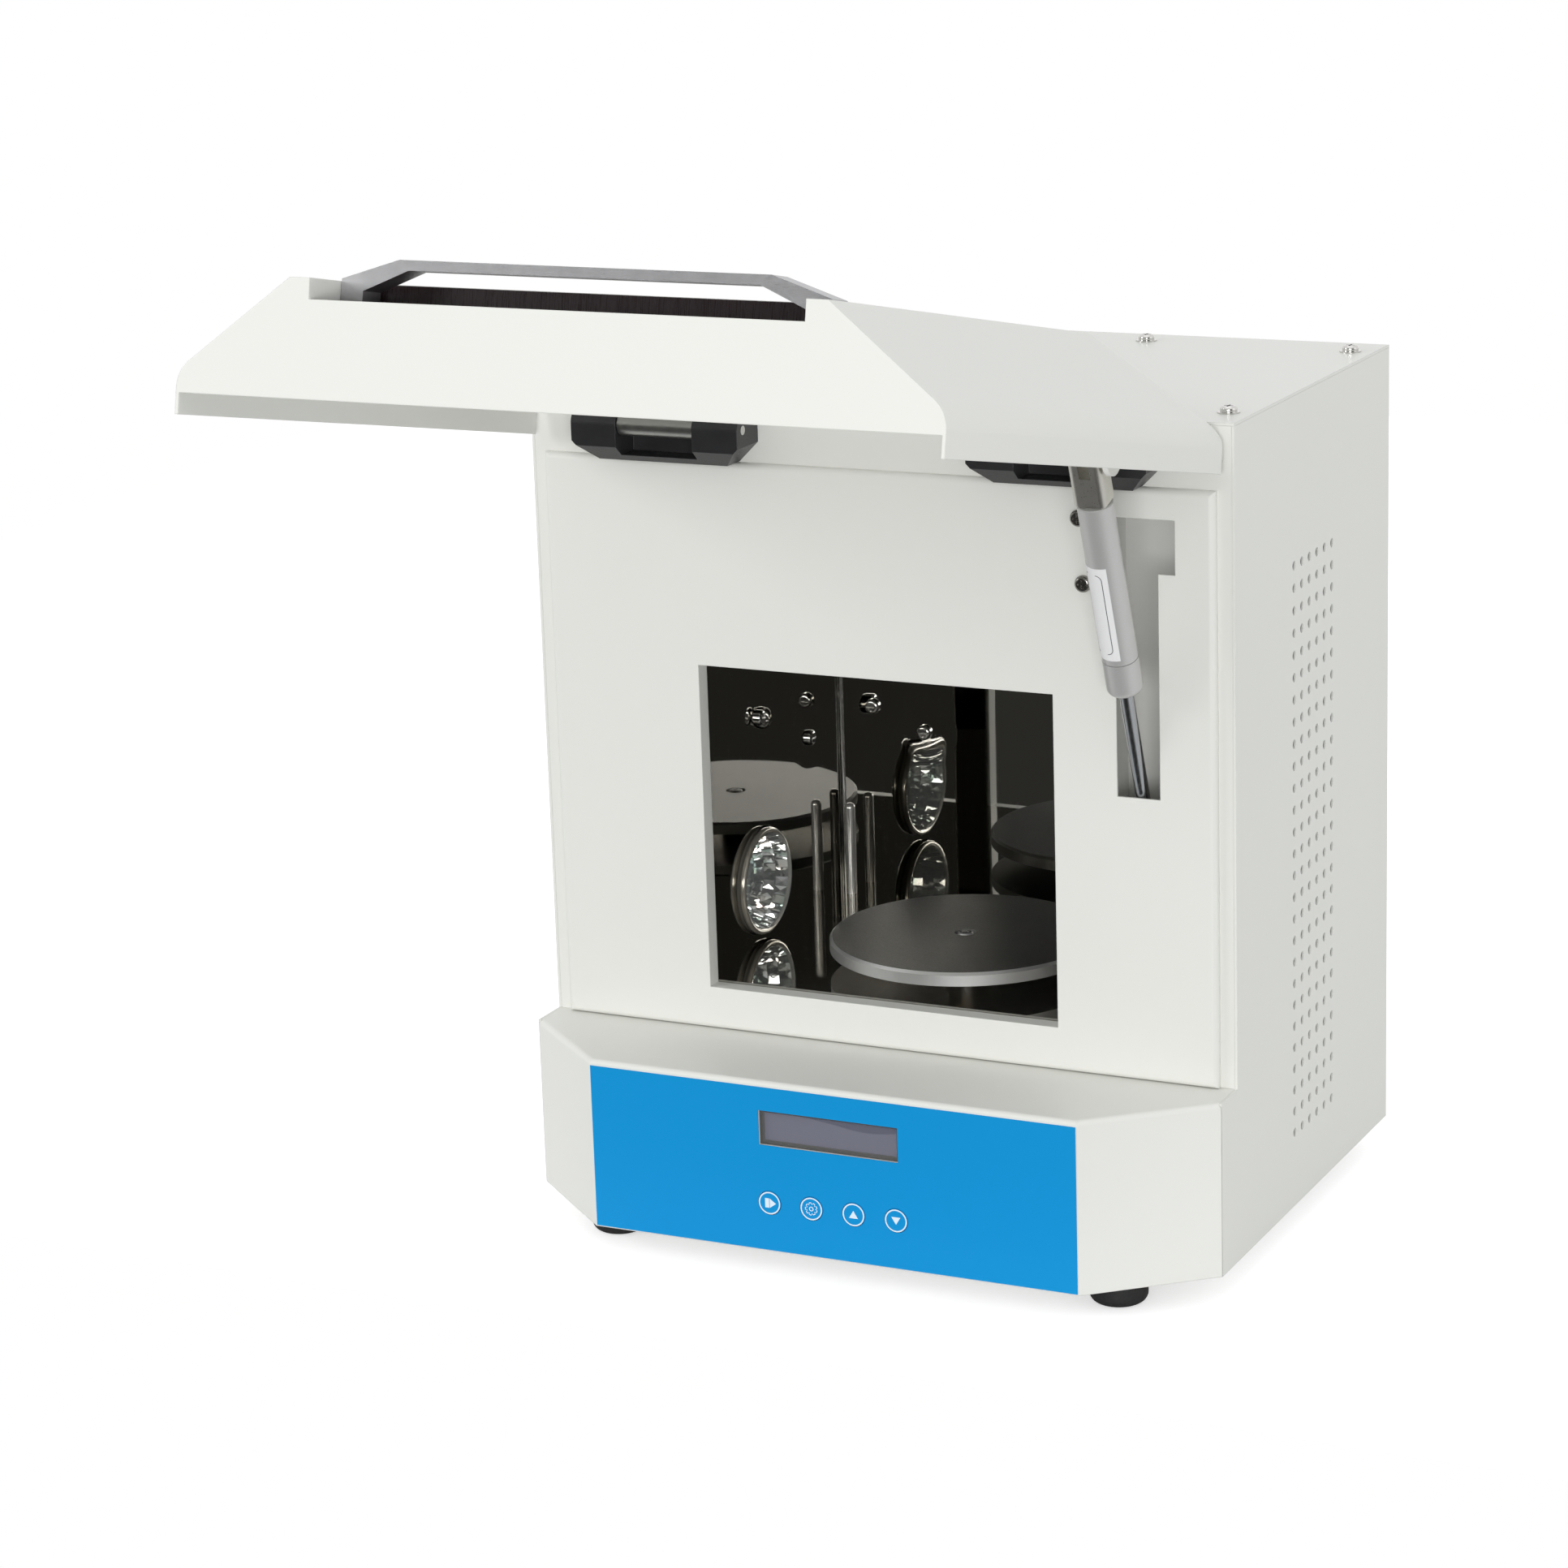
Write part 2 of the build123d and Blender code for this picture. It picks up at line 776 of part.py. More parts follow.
# ---- lamps: made facing +X with the rim's plane at the origin, then placed ----
def lamp_bowl(wall):
    """The bowl's curve from neck to rim, set outwards by a wall."""
    inner_rim = lamp_radius - lamp_wall
    points = []
    for i in range(lamp_curve_steps + 1):
        t = i / lamp_curve_steps
        x = -lamp_depth + lamp_neck_length + (lamp_depth - lamp_neck_length) * t * t
        points.append((x - wall * (1 - t), lamp_neck_radius + (inner_rim - lamp_neck_radius) * t + wall))
    return points


def lamp_reflector():
    bore = lamp_neck_radius - lamp_wall
    inner = [(-lamp_depth, bore), (-lamp_depth + lamp_neck_length, bore)] + lamp_bowl(0)[1:]
    outer = [(-lamp_depth, lamp_neck_radius)] + [(x, r) for x, r in lamp_bowl(lamp_wall) if x < 0]
    points = inner + [(0, lamp_radius)] + outer[::-1]
    return revolve(make_face(Polyline(*points, close=True)), Axis.X)


def lamp_window():
    """The clear front glass, set into the reflector's rim."""
    x = -lamp_glass_inset
    slope = (lamp_radius - lamp_wall - lamp_neck_radius) / (2 * (lamp_depth - lamp_neck_length))
    radius = lamp_radius - lamp_wall - (lamp_glass_inset + lamp_glass) * slope - lamp_glass_play
    return rod((x - lamp_glass, 0, 0), (x, 0, 0), radius)


def lamp_bulb():
    bulb = rod((-lamp_depth, 0, 0), (-lamp_depth + bulb_length, 0, 0), bulb_radius)
    return fillet(bulb.faces().sort_by(Axis.X)[-1].edges(), bulb_radius * 0.9)


def lamp_socket():
    """The ceramic socket that the lamp's neck and bulb sit against."""
    half = socket_size / 2
    socket = block(-lamp_depth - socket_depth, -lamp_depth, -half, half, -half, half)
    return fillet(socket.edges().filter_by(Axis.X), 2.5)


def lamp_bracket():
    """The bent strip that holds the socket behind the chamber's wall."""
    far = -lamp_depth - socket_depth
    near = -lamp_proud - mirror_sheet
    half = bracket_half_width
    strip = block(far - bracket_sheet, far, -half, half, -socket_size / 2, bracket_rise)
    strip += block(far - bracket_sheet, near, -half, half, bracket_rise - bracket_sheet, bracket_rise)
    return strip + block(near - bracket_sheet, near, -half, half, bracket_rise, bracket_rise + bracket_foot)


def place_lamp(piece, side):
    """Turns a lamp piece to its wall, with its rim proud of that wall."""
    turned = piece if side < 0 else Rot(0, 0, 180) * piece
    return Pos(side * (chamber_half - lamp_proud), lamp_y, lamp_z) * turned


# ---- back gear ----
def fan_frame():
    """The square fan housing with its motor plate, arms and shaft."""
    y1 = body_depth - cover_sheet
    y0 = y1 - fan_depth
    frame = centred_block(fan_x, fan_centre_z, fan_size, fan_size, y0, y1)
    frame = fillet(frame.edges().filter_by(Axis.Y), 4.0)
    frame -= fan_rod(y0 - 1, y1 + 1, fan_bore_radius)
    plate = fan_rod(y1 - fan_plate, y1, fan_hub_radius)
    for turn in (45, 135):
        arm = Box(2 * fan_bore_radius + 4, fan_plate, fan_arm_width)
        plate += Pos(fan_x, y1 - fan_plate / 2, fan_centre_z) * Rot(0, turn, 0) * arm
    frame += plate
    frame += fan_rod(y0 + fan_hub_gap + fan_plate, y1, fan_shaft_radius)
    for x, z in fan_screw_places():
        frame -= rod((x, y0 - 1, z), (x, y1 + 1, z), screw_radius)
    return frame


def fan_rod(y0, y1, radius):
    return rod((fan_x, y0, fan_centre_z), (fan_x, y1, fan_centre_z), radius)


def fan_rotor():
    """The hub with its tilted blades."""
    y0 = body_depth - cover_sheet - fan_depth + fan_hub_gap
    y1 = body_depth - cover_sheet - fan_plate - fan_hub_gap
    tip = fan_bore_radius - fan_tip_clearance
    span = tip - fan_hub_radius + 2
    chord = (y1 - y0) * 0.8
    rotor = fan_rod(y0, y1, fan_hub_radius)
    for i in range(fan_blades):
        blade = Pos(fan_hub_radius - 2 + span / 2, 0, 0) * Rot(fan_blade_tilt, 0, 0)
        blade = blade * Box(span, chord, fan_blade_sheet)
        turned = Rot(0, 360 * i / fan_blades, 0) * blade
        rotor += Pos(fan_x, (y0 + y1) / 2, fan_centre_z) * turned
    rotor &= fan_rod(y0, y1, tip)
    return rotor - fan_rod(y0 + fan_plate - pin_play, y1 + 1, fan_shaft_radius + pin_play)


def fan_screws():
    return [pan_screw((x, body_depth, z), (0, -1, 0)) for x, z in fan_screw_places()]


def power_inlet():
    """The mains inlet socket: flange outside, body inside, and three blades in its recess."""
    y1 = body_depth
    inlet = centred_block(inlet_x, inlet_centre_z, inlet_width, inlet_height, y1 - inlet_depth, y1)
    flange = centred_block(inlet_x, inlet_centre_z, inlet_flange, inlet_flange_height, y1,
                           y1 + inlet_flange_sheet)
    flange = fillet(flange.edges().filter_by(Axis.Y), 4.0)
    inlet += flange
    inlet -= centred_block(inlet_x, inlet_centre_z, inlet_width - 2 * inlet_wall,
                           inlet_height - 2 * inlet_wall, y1 - inlet_recess, y1 + 3)
    for side in (-1, 1):
        inlet -= back_hole(inlet_x + side * inlet_screw_offset, inlet_centre_z, screw_radius + screw_clearance)
    return inlet


def inlet_blades():
    """Three flat contact blades: two level and the middle one raised."""
    y0 = body_depth - inlet_recess
    y1 = y0 + inlet_blade_length
    places = ((-7.0, -2.0), (0.0, 2.0), (7.0, -2.0))
    return [centred_block(inlet_x + dx, inlet_centre_z + dz, 2.0, 4.0, y0, y1) for dx, dz in places]


def inlet_screws():
    y = body_depth + inlet_flange_sheet
    return [pan_screw((inlet_x + side * inlet_screw_offset, y, inlet_centre_z), (0, -1, 0)) for side in (-1, 1)]


def rocker_axis_y():
    return body_depth - rocker_inset


def rocker_case():
    """The switch body through the back sheet, with its flange and a round cradle."""
    y1 = body_depth
    width, height = rocker_case_width(), rocker_case_height()
    case = centred_block(rocker_x, inlet_centre_z, width, height, y1 - rocker_depth, y1)
    case += centred_block(rocker_x, inlet_centre_z, width + 2 * rocker_flange, height + 2 * rocker_flange, y1,
                          y1 + rocker_flange_sheet)
    cradle = rocker_width / 2 + rocker_clearance
    y, z = rocker_axis_y(), inlet_centre_z
    radius = rocker_radius + rocker_clearance
    case -= rod((rocker_x - cradle, y, z), (rocker_x + cradle, y, z), radius)
    return case - block(rocker_x - cradle, rocker_x + cradle, y, y1 + 3, z - radius, z + radius)


def rocker_key():
    """The rocking key: a dished drum segment, shown pressed to one side."""
    half = rocker_width / 2
    drum = rod((-half, 0, 0), (half, 0, 0), rocker_radius)
    drum -= block(-half - 1, half + 1, -rocker_radius - 1, -rocker_radius / 2, -rocker_radius, rocker_radius)
    dish_y = rocker_dish_radius + rocker_radius * 0.7
    drum -= rod((-half - 1, dish_y, 0), (half + 1, dish_y, 0), rocker_dish_radius)
    return Pos(rocker_x, rocker_axis_y(), inlet_centre_z) * Rot(-rocker_tilt, 0, 0) * drum


def power_supply():
    """The driver's housing on the bottom sheet: a folded box with lid overlap and vent slots."""
    x0, x1 = supply_x - supply_width / 2, supply_x + supply_width / 2
    y1 = body_depth - cover_sheet - supply_back_gap
    y0 = y1 - supply_depth
    z0 = base_z + base_sheet + supply_foot
    z1 = z0 + supply_height
    case = block(x0, x1, y0, y1, z0, z1)
    case = fillet(case.edges().filter_by(Axis.Y), supply_edge_radius)
    first = x0 + supply_slot_inset
    for i in range(supply_slots):
        x = first + i * supply_slot_pitch
        case -= block(x, x + supply_slot_width, y0 + supply_slot_end, y1 - supply_slot_end, z1 - cover_sheet, z1 + 1)
    feet_made = [
        block(x, x + supply_foot_size, y, y + supply_foot_size, z0 - supply_foot, z0)
        for x in (x0 + supply_foot_inset, x1 - supply_foot_inset - supply_foot_size)
        for y in (y0 + supply_foot_inset, y1 - supply_foot_inset - supply_foot_size)
    ]
    for foot in feet_made:
        case += foot
    return case


# ---- control panel ----
def lcd_pieces():
    """The display's lens, its screen, its metal bezel and its board, stacked behind the console."""
    y = face_in
    lens = centred_block(0, lcd_centre_z, lcd_width + 2 * lcd_lens_margin, lcd_height + 2 * lcd_lens_margin,
                         y, y + lcd_lens)
    y += lcd_lens
    bezel = centred_block(0, lcd_centre_z, lcd_body_width + 4, lcd_body_height + 2, y, y + lcd_body)
    screen_w, screen_h = lcd_width - 3.0, lcd_height - 3.0
    bezel -= centred_block(0, lcd_centre_z, screen_w, screen_h, y - 1, y + 2)
    screen = centred_block(0, lcd_centre_z, screen_w, screen_h, y + 0.6, y + 2)
    y += lcd_body
    board = centred_block(0, lcd_centre_z, lcd_board_width, lcd_board_height, y, y + board_sheet)
    for i in (-1, 1):
        for k in (-1, 1):
            x = i * (lcd_board_width / 2 - 3)
            z = lcd_centre_z + k * (lcd_board_height / 2 - 3)
            board -= rod((x, y - 1, z), (x, y + 3, z), 1.6)
    return lens, bezel, screen, board


def key_button(x):
    """One key cap with the collar that keeps it behind the console."""
    y0 = face_y - label_thickness - key_proud
    cap = rod((x, y0, key_centre_z), (x, y0 + key_length, key_centre_z), key_radius)
    cap = fillet(cap.faces().sort_by(Axis.Y)[0].edges(), key_edge_radius)
    y1 = face_in + pin_play
    return cap + rod((x, y1, key_centre_z), (x, y1 + key_collar_sheet, key_centre_z), key_radius + key_collar)


def key_back_y():
    return face_y - label_thickness - key_proud + key_length


def board_y():
    return key_back_y() + switch_gap + switch_depth


def control_board():
    z0 = base_z + base_sheet + 3
    board = block(-board_half_width, board_half_width, board_y(), board_y() + board_sheet, z0, z0 + board_height)
    back = board_y() + board_sheet
    chip = centred_block(0, key_centre_z - board_part_drop, chip_size, chip_size, back, back + chip_height)
    socket = centred_block(socket_x, key_centre_z - board_part_drop, plug_socket_width, plug_socket_height, back,
                           back + plug_socket_height)
    return board + chip + socket


def key_switches():
    """A small switch on the board behind each key."""
    y = board_y()
    made = []
    for x in key_places():
        switch = centred_block(x, key_centre_z, switch_size, switch_size, y - switch_depth + 1, y)
        made.append(switch + rod((x, y - switch_depth, key_centre_z), (x, y, key_centre_z), 1.7))
    return made


def board_standoffs():
    z0 = base_z + base_sheet + 3
    places = [
        (side * (board_half_width - standoff_inset), z)
        for side in (-1, 1)
        for z in (z0 + standoff_inset, z0 + board_height - standoff_inset)
    ]
    return [rod((x, face_in, z), (x, board_y(), z), standoff_radius) for x, z in places]


# ---- hood, in its closed place ----
def door_plan(inset):
    """The hood's (x, y) plan, inset by a wall, and open to its back edge."""
    turn = atan2(door_fold_y - door_face_y, door_half_width - door_face_half)
    face_half = door_face_half - inset * tan(turn / 2)
    fold_y = door_fold_y + inset * tan((radians(90) - turn) / 2)
    side = door_half_width - inset
    back = door_back_y + (1 if inset else 0)
    outline = [
        (-side, back),
        (-side, fold_y),
        (-face_half, door_face_y + inset),
        (face_half, door_face_y + inset),
        (side, fold_y),
        (side, back),
    ]
    face = make_face(Polyline(*outline, close=True))
    folds = [v for v in face.vertices() if abs(v.Y - fold_y) < 0.01]
    return fillet(folds, door_fold_radius - inset)


def above_slope(inset):
    """Everything beyond the hood's slanted hinge end, moved inwards by a wall."""
    slope = atan2(door_z1 - door_face_z1, door_slope_y - door_face_y)
    drop = inset / cos(slope)
    run = 60.0
    rise = run * tan(slope)
    return prism_x(
        [
            (door_face_y - run, door_face_z1 - rise - drop),
            (door_slope_y + run, door_z1 + rise - drop),
            (door_face_y - run, door_z1 + rise - drop),
        ],
        -body_width,
        body_width,
    )


def door_shell():
    """The folded hood with its finger cut-out."""
    outer = extrude(Pos(0, 0, door_z0) * door_plan(0), door_z1 - door_z0) - above_slope(0)
    cavity = extrude(Pos(0, 0, door_z0 + door_sheet) * door_plan(door_sheet), door_z1 - door_z0)
    shell = outer - (cavity - above_slope(door_sheet))
    side = door_half_width - door_sheet
    shell -= block(-side, side, door_cap_back_y, 0, door_z0 - 1, door_z0 + door_sheet + 1)
    shell -= block(-recess_half, recess_half, door_face_y - 1, door_face_y + recess_depth, door_z0 - 1,
                   door_z0 + door_sheet)
    shell -= block(-recess_half, recess_half, door_face_y - 1, door_face_y + door_sheet, door_z0 - 1,
                   door_z0 + recess_length)
    for x in (-recess_half - door_sheet, recess_half):
        shell += block(x, x + door_sheet, door_face_y, door_face_y + recess_depth + recess_plate_sheet, door_z0,
                       door_z0 + recess_length)
    return shell


def recess_plate():
    """The dark pan behind the handle: a floor, a far wall and a lap under the hood's face."""
    y_in = door_face_y + door_sheet
    y_low = door_face_y + recess_depth
    y_high = door_face_y + recess_gap
    z0 = door_z0 + door_sheet
    z1 = door_z0 + recess_length
    z_wall = z1 - recess_gap - recess_plate_sheet
    sheet = recess_plate_sheet
    half = recess_half - recess_gap
    return prism_x(
        [
            (y_low, z0),
            (y_low, z_wall),
            (y_high, z_wall),
            (y_high, z1 - recess_gap),
            (y_in, z1 - recess_gap),
            (y_in, z1 + recess_plate_lap),
            (y_in + sheet, z1 + recess_plate_lap),
            (y_in + sheet, z1 - recess_gap),
            (y_low + sheet, z1 - recess_gap),
            (y_low + sheet, z0),
        ],
        -half,
        half,
    )


def handle():
    """The strap handle: a raised grip whose legs widen into feet in the recess's corners."""
    end = recess_half - recess_gap
    inner_end = end - handle_foot_width
    inner_bar = handle_bar_half - handle_inset
    low = door_face_y + recess_depth - recess_gap
    right = [
        (handle_bar_half, door_face_y - handle_rise),
        (end, door_face_y - handle_shoulder),
        (end, low),
        (inner_end, low),
        (inner_end, door_face_y + handle_knee),
        (inner_bar, door_face_y - handle_rise + handle_sheet),
    ]
    left = [(-x, y) for x, y in reversed(right)]
    z0 = door_z0 + handle_start
    return prism_z(right + left, z0, z0 + handle_width)


# ---- hinges ----
def hinge_base(centre):
    """The die-cast half on the front strip, with two cheeks round the leaf."""
    z0 = base_z + panel_top + hinge_base_gap
    front = hinge_y - hinge_knuckle_radius
    half = hinge_width / 2
    body = prism_x(
        [
            (0, z0),
            (-hinge_base_front, z0),
            (front, z0 + hinge_base_bevel),
            (front, hinge_z),
            (hinge_y, hinge_z + hinge_knuckle_radius),
            (0, hinge_z + 1),
        ],
        centre - half,
        centre + half,
    )
    body += rod((centre - half, hinge_y, hinge_z), (centre + half, hinge_y, hinge_z), hinge_knuckle_radius)
    top = hinge_z + hinge_knuckle_radius + 1
    ends = prism_y(
        [
            (centre - half, top),
            (centre - half, z0 + hinge_end_bevel),
            (centre - half + hinge_end_bevel, z0),
            (centre + half - hinge_end_bevel, z0),
            (centre + half, z0 + hinge_end_bevel),
            (centre + half, top),
        ],
        front - 1,
        1,
    )
    body &= ends
    opening = hinge_leaf_half + hinge_play
    body -= block(centre - opening, centre + opening, front - 1, -hinge_back_wall, z0 + hinge_floor, top)
    return body - hinge_bore(centre, half, hinge_pin_radius)


def hinge_bore(centre, half, radius):
    return rod((centre - half - 1, hinge_y, hinge_z), (centre + half + 1, hinge_y, hinge_z), radius)


def hinge_pin(centre):
    """The steel pin held in the cheeks."""
    half = hinge_width / 2
    return rod((centre - half, hinge_y, hinge_z), (centre + half, hinge_y, hinge_z), hinge_pin_radius)


def slope_distance():
    """How far the hood's slanted outer face lies from the hinge axis."""
    slope = atan2(door_z1 - door_face_z1, door_slope_y - door_face_y)
    dy, dz = door_slope_y - hinge_y, door_z1 - hinge_z
    return cos(slope) * dz - sin(slope) * dy, slope


def hinge_leaf(centre):
    """The leaf under the hood's slanted end, with its knuckle on the pin."""
    distance, slope = slope_distance()
    seat = distance - door_sheet
    half = hinge_leaf_half
    plate = block(centre - half, centre + half, -leaf_length - leaf_start, -leaf_start, seat - leaf_sheet, seat)
    web = block(centre - half, centre + half, -hinge_leaf_knuckle, 0, 0, seat - leaf_sheet)
    knuckle = rod((centre - half, 0, 0), (centre + half, 0, 0), hinge_leaf_knuckle)
    web += block(centre - half, centre + half, -hinge_leaf_knuckle, -leaf_start, seat - leaf_sheet - 1, seat)
    leaf = plate + web + knuckle
    leaf -= rod((centre - half - 1, 0, 0), (centre + half + 1, 0, 0), hinge_pin_radius + pin_play)
    return Pos(0, hinge_y, hinge_z) * Rot(degrees(slope), 0, 0) * leaf


# ---- gas strut: made along its own line, and shown stretched ----
def lifted(point):
    """Where a closed hood's (y, z) point goes when the hood is up."""
    turn = radians(-door_open_angle)
    y, z = point[0] - hinge_y, point[1] - hinge_z
    return hinge_y + y * cos(turn) - z * sin(turn), hinge_z + y * sin(turn) + z * cos(turn)


strut_low = (strut_low_y, base_z + strut_low_height)
strut_top_closed = (strut_top_y, base_z + strut_top_height)
strut_top_open = lifted(strut_top_closed)
strut_reach = hypot(strut_top_open[0] - strut_low[0], strut_top_open[1] - strut_low[1])
strut_closed_reach = hypot(strut_top_closed[0] - strut_low[0], strut_top_closed[1] - strut_low[1])
strut_line = ((strut_top_open[0] - strut_low[0]) / strut_reach, (strut_top_open[1] - strut_low[1]) / strut_reach)
strut_body_end = strut_reach - strut_head_length
strut_cap_start = strut_body_end - strut_body_length
strut_tube_start = strut_cap_start + strut_cap_length
strut_piston_end = strut_tube_start + strut_piston_reach


def along_strut(piece):
    """Places a piece made with Z along the strut, from its lower pivot."""
    plane = Plane(origin=(strut_x, *strut_low), x_dir=(1, 0, 0), z_dir=(0, *strut_line))
    return plane * piece


def bar(start, end, radius):
    """A round bar on the strut's own line."""
    return Pos(0, 0, (start + end) / 2) * Cylinder(radius, end - start)


def strut_rod():
    """The piston rod with its piston."""
    shaft = bar(strut_neck_length, strut_piston_end, strut_rod_radius)
    piston = bar(strut_piston_end - strut_piston, strut_piston_end, strut_bore - strut_slide_play)
    return along_strut(shaft + piston)


def strut_eye():
    """The eye on the rod's lower end."""
    eye = Rot(0, 90, 0) * Cylinder(strut_eye_radius, strut_eye_thickness)
    flats = Pos(0, 0, strut_neck_length / 2) * Box(strut_eye_thickness, 2 * strut_eye_radius, 2 * strut_neck_length)
    eye += bar(0, strut_neck_length, strut_neck_radius) & flats
    return along_strut(eye - Rot(0, 90, 0) * Cylinder(strut_pin_radius + pin_play, 2 * strut_eye_thickness))


def strut_end_cap():
    """The cylinder's lower cap with the gland for the rod."""
    start, end = strut_cap_start, strut_tube_start
    cap = bar(start, end, strut_cap_radius)
    cap = fillet(cap.faces().sort_by(Axis.Z)[0].edges(), strut_cap_round)
    cap -= bar(start - 1, end + 1, strut_rod_radius + strut_slide_play)
    return along_strut(cap - bar(start + strut_gland, end + 1, strut_bore))


def strut_cylinder():
    start = strut_tube_start
    tube = bar(start, strut_body_end, strut_radius)
    tube = chamfer(tube.edges().group_by(Axis.Z)[0] + tube.edges().group_by(Axis.Z)[-1], 0.4)
    return along_strut(tube - bar(start - 1, strut_body_end - strut_plug, strut_bore))


def strut_label():
    """The paper label wrapped round part of the cylinder."""
    start = strut_tube_start + strut_label_inset
    wrap = bar(start, start + strut_label_length, strut_radius + strut_label_sheet)
    wrap -= bar(start - 1, start + strut_label_length + 1, strut_radius)
    half = radians(strut_label_arc / 2)
    far = 3 * strut_radius
    wedge = make_face(Polyline((0, 0), (far * cos(half), -far * sin(half)), (far * cos(half), far * sin(half)),
                               close=True))
    wedge = extrude(Pos(0, 0, start - 1) * Rot(0, 0, -120) * wedge, strut_label_length + 2)
    return along_strut(wrap & wedge)


def strut_fork():
    """The plated fork on the cylinder's top."""
    low = strut_body_end
    high = strut_reach + strut_eye_radius
    middle = (low + high) / 2
    fork = Pos(0, 0, middle) * Box(strut_fork_width, strut_fork_depth, high - low)
    fork = fillet(fork.edges().filter_by(Axis.Z), 2.5)
    fork = chamfer(fork.faces().sort_by(Axis.Z)[0].edges(), 1.0)
    fork -= Pos(0, 0, high - strut_fork_slot_depth / 2) * Box(strut_fork_slot, 2 * strut_fork_depth,
                                                               strut_fork_slot_depth)
    bore = Pos(0, 0, strut_reach) * Rot(0, 90, 0) * Cylinder(strut_pin_radius, 2 * strut_fork_width)
    return along_strut(fork - bore)


def strut_fork_pin():
    """The pin through the fork, which ends just short of the hood's bracket."""
    half = strut_fork_width / 2
    pin = Pos(strut_pin_reach / 2, 0, strut_reach) * Rot(0, 90, 0)
    pin = pin * Cylinder(strut_pin_radius, strut_fork_width + strut_pin_reach)
    head = Pos(-half - 0.6, 0, strut_reach) * Rot(0, 90, 0) * Cylinder(strut_pin_radius + 1, 1.2)
    return along_strut(pin + head)


def door_bracket():
    """The plate inside the hood that the strut's pin meets, with a foot on the folded side."""
    x0 = strut_x + strut_fork_width / 2 + strut_pin_reach + strut_pin_gap
    x1 = x0 + door_bracket_sheet
    y, z = strut_top_closed
    half = door_bracket_half
    turn = atan2(door_fold_y - door_face_y, door_half_width - door_face_half)
    inner = door_sheet / cos(turn)

    def wall_y(x):
        return door_face_y + inner + (x - door_face_half) * tan(turn)

    lap = door_bracket_foot * cos(turn)
    thick = door_bracket_sheet / cos(turn)
    plate = prism_x([(wall_y(x1), z - half), (y, z - half), (y, z + half), (wall_y(x1), z + half)], x0, x1)
    plate += rod((x0, y, z), (x1, y, z), half)
    foot = prism_z(
        [
            (x0, wall_y(x0)),
            (x0 + lap, wall_y(x0 + lap)),
            (x0 + lap, wall_y(x0 + lap) + thick),
            (x0, wall_y(x0) + thick),
        ],
        z - half,
        z + half,
    )
    return plate + foot


def anchor_bracket():
    """The bent plate on the right side sheet that carries the strut's lower pin, its foot turned forward."""
    x0 = strut_x + strut_eye_thickness / 2 + anchor_gap
    x1 = x0 + anchor_sheet
    y, z = strut_low
    z0, z1 = z - anchor_half_height, z + anchor_half_height
    back = y + anchor_reach
    plate = block(x0, x1, y, back, z0, z1) + rod((x0, y, z), (x1, y, z), anchor_half_height)
    plate += block(x0, inner_half, back - anchor_sheet, back, z0, z1)
    plate += block(inner_half - anchor_sheet, inner_half, back - anchor_foot, back, z0, z1)
    return plate - rod((x0 - 1, y, z), (x1 + 1, y, z), anchor_rivet_radius)


def anchor_pin():
    """The headed pin through the eye, riveted into the anchor bracket."""
    y, z = strut_low
    x0 = strut_x + strut_eye_thickness / 2 + anchor_gap
    x_head = strut_x - strut_eye_thickness / 2 - anchor_gap
    pin = rod((x_head, y, z), (x0, y, z), strut_pin_radius)
    pin += rod((x_head - 1.5, y, z), (x_head, y, z), strut_pin_radius + 1.5)
    return pin + rod((x0, y, z), (x0 + anchor_sheet, y, z), anchor_rivet_radius)


def strut_channel():
    """The painted partition beside and behind the strut's slot, on the front strip and the right side sheet."""
    z0, z1 = base_z + channel_foot, base_z + panel_top + frame_strip
    left = slot_left - channel_inset
    side = block(left - cover_sheet, left, cover_sheet, channel_depth, z0, z1)
    return side + block(left, inner_half, channel_depth - cover_sheet, channel_depth, z0, z1)


# ---- every node, with the closed hood's pieces lifted ----
fixed = {
    "left_side_panel": side_panel(-1),
    "right_side_panel": side_panel(1),
    "top_cover": top_cover(),
    "top_cover_screws": top_screws(),
    "back_panel": back_panel(),
    "base_plate": base_plate(),
    "rubber_feet": feet(),
    "console_shell": console_shell(),
    "panel_label": panel_label(),
    "front_frame": front_frame(),
    "front_panel": front_panel(),
    "front_panel_screws": panel_screws(),
    **chamber_walls(),
    "chamber_screws": chamber_screws(),
    "turntable": [turntable(), turntable_cap()],
    "turntable_shaft": turntable_shaft(),
    "turntable_bush": turntable_bush(),
    "turntable_gearmotor": turntable_gearmotor(),
    "temperature_probe": probe(),
    "fan_frame": fan_frame(),
    "fan_rotor": fan_rotor(),
    "power_inlet": power_inlet(),
    "inlet_blades": inlet_blades(),
    "case_screws": foot_screws() + fan_screws() + inlet_screws(),
    "rocker_case": rocker_case(),
    "rocker_key": rocker_key(),
    "power_supply": power_supply(),
    "control_board": [control_board()] + key_switches(),
    "standoffs": board_standoffs() + chamber_posts(),
    "hinge_bases": [hinge_base(side * hinge_centre) for side in (-1, 1)],
    "hinge_pins": [hinge_pin(side * hinge_centre) for side in (-1, 1)],
    "strut_rod": strut_rod(),
    "strut_eye": strut_eye(),
    "strut_end_cap": strut_end_cap(),
    "strut_cylinder": strut_cylinder(),
    "strut_label": strut_label(),
    "strut_fork": strut_fork(),
    "strut_fork_pin": strut_fork_pin(),
    "strut_anchor_bracket": [anchor_bracket(), anchor_pin()],
    "strut_channel": strut_channel(),
}
lens, bezel, screen, board = lcd_pieces()
fixed["lcd_lens"] = lens
fixed["lcd_screen"] = screen
fixed["lcd_module"] = [bezel, board]
for node, x in zip(("start_key", "menu_key", "up_key", "down_key"), key_places()):
    fixed[node] = key_button(x)
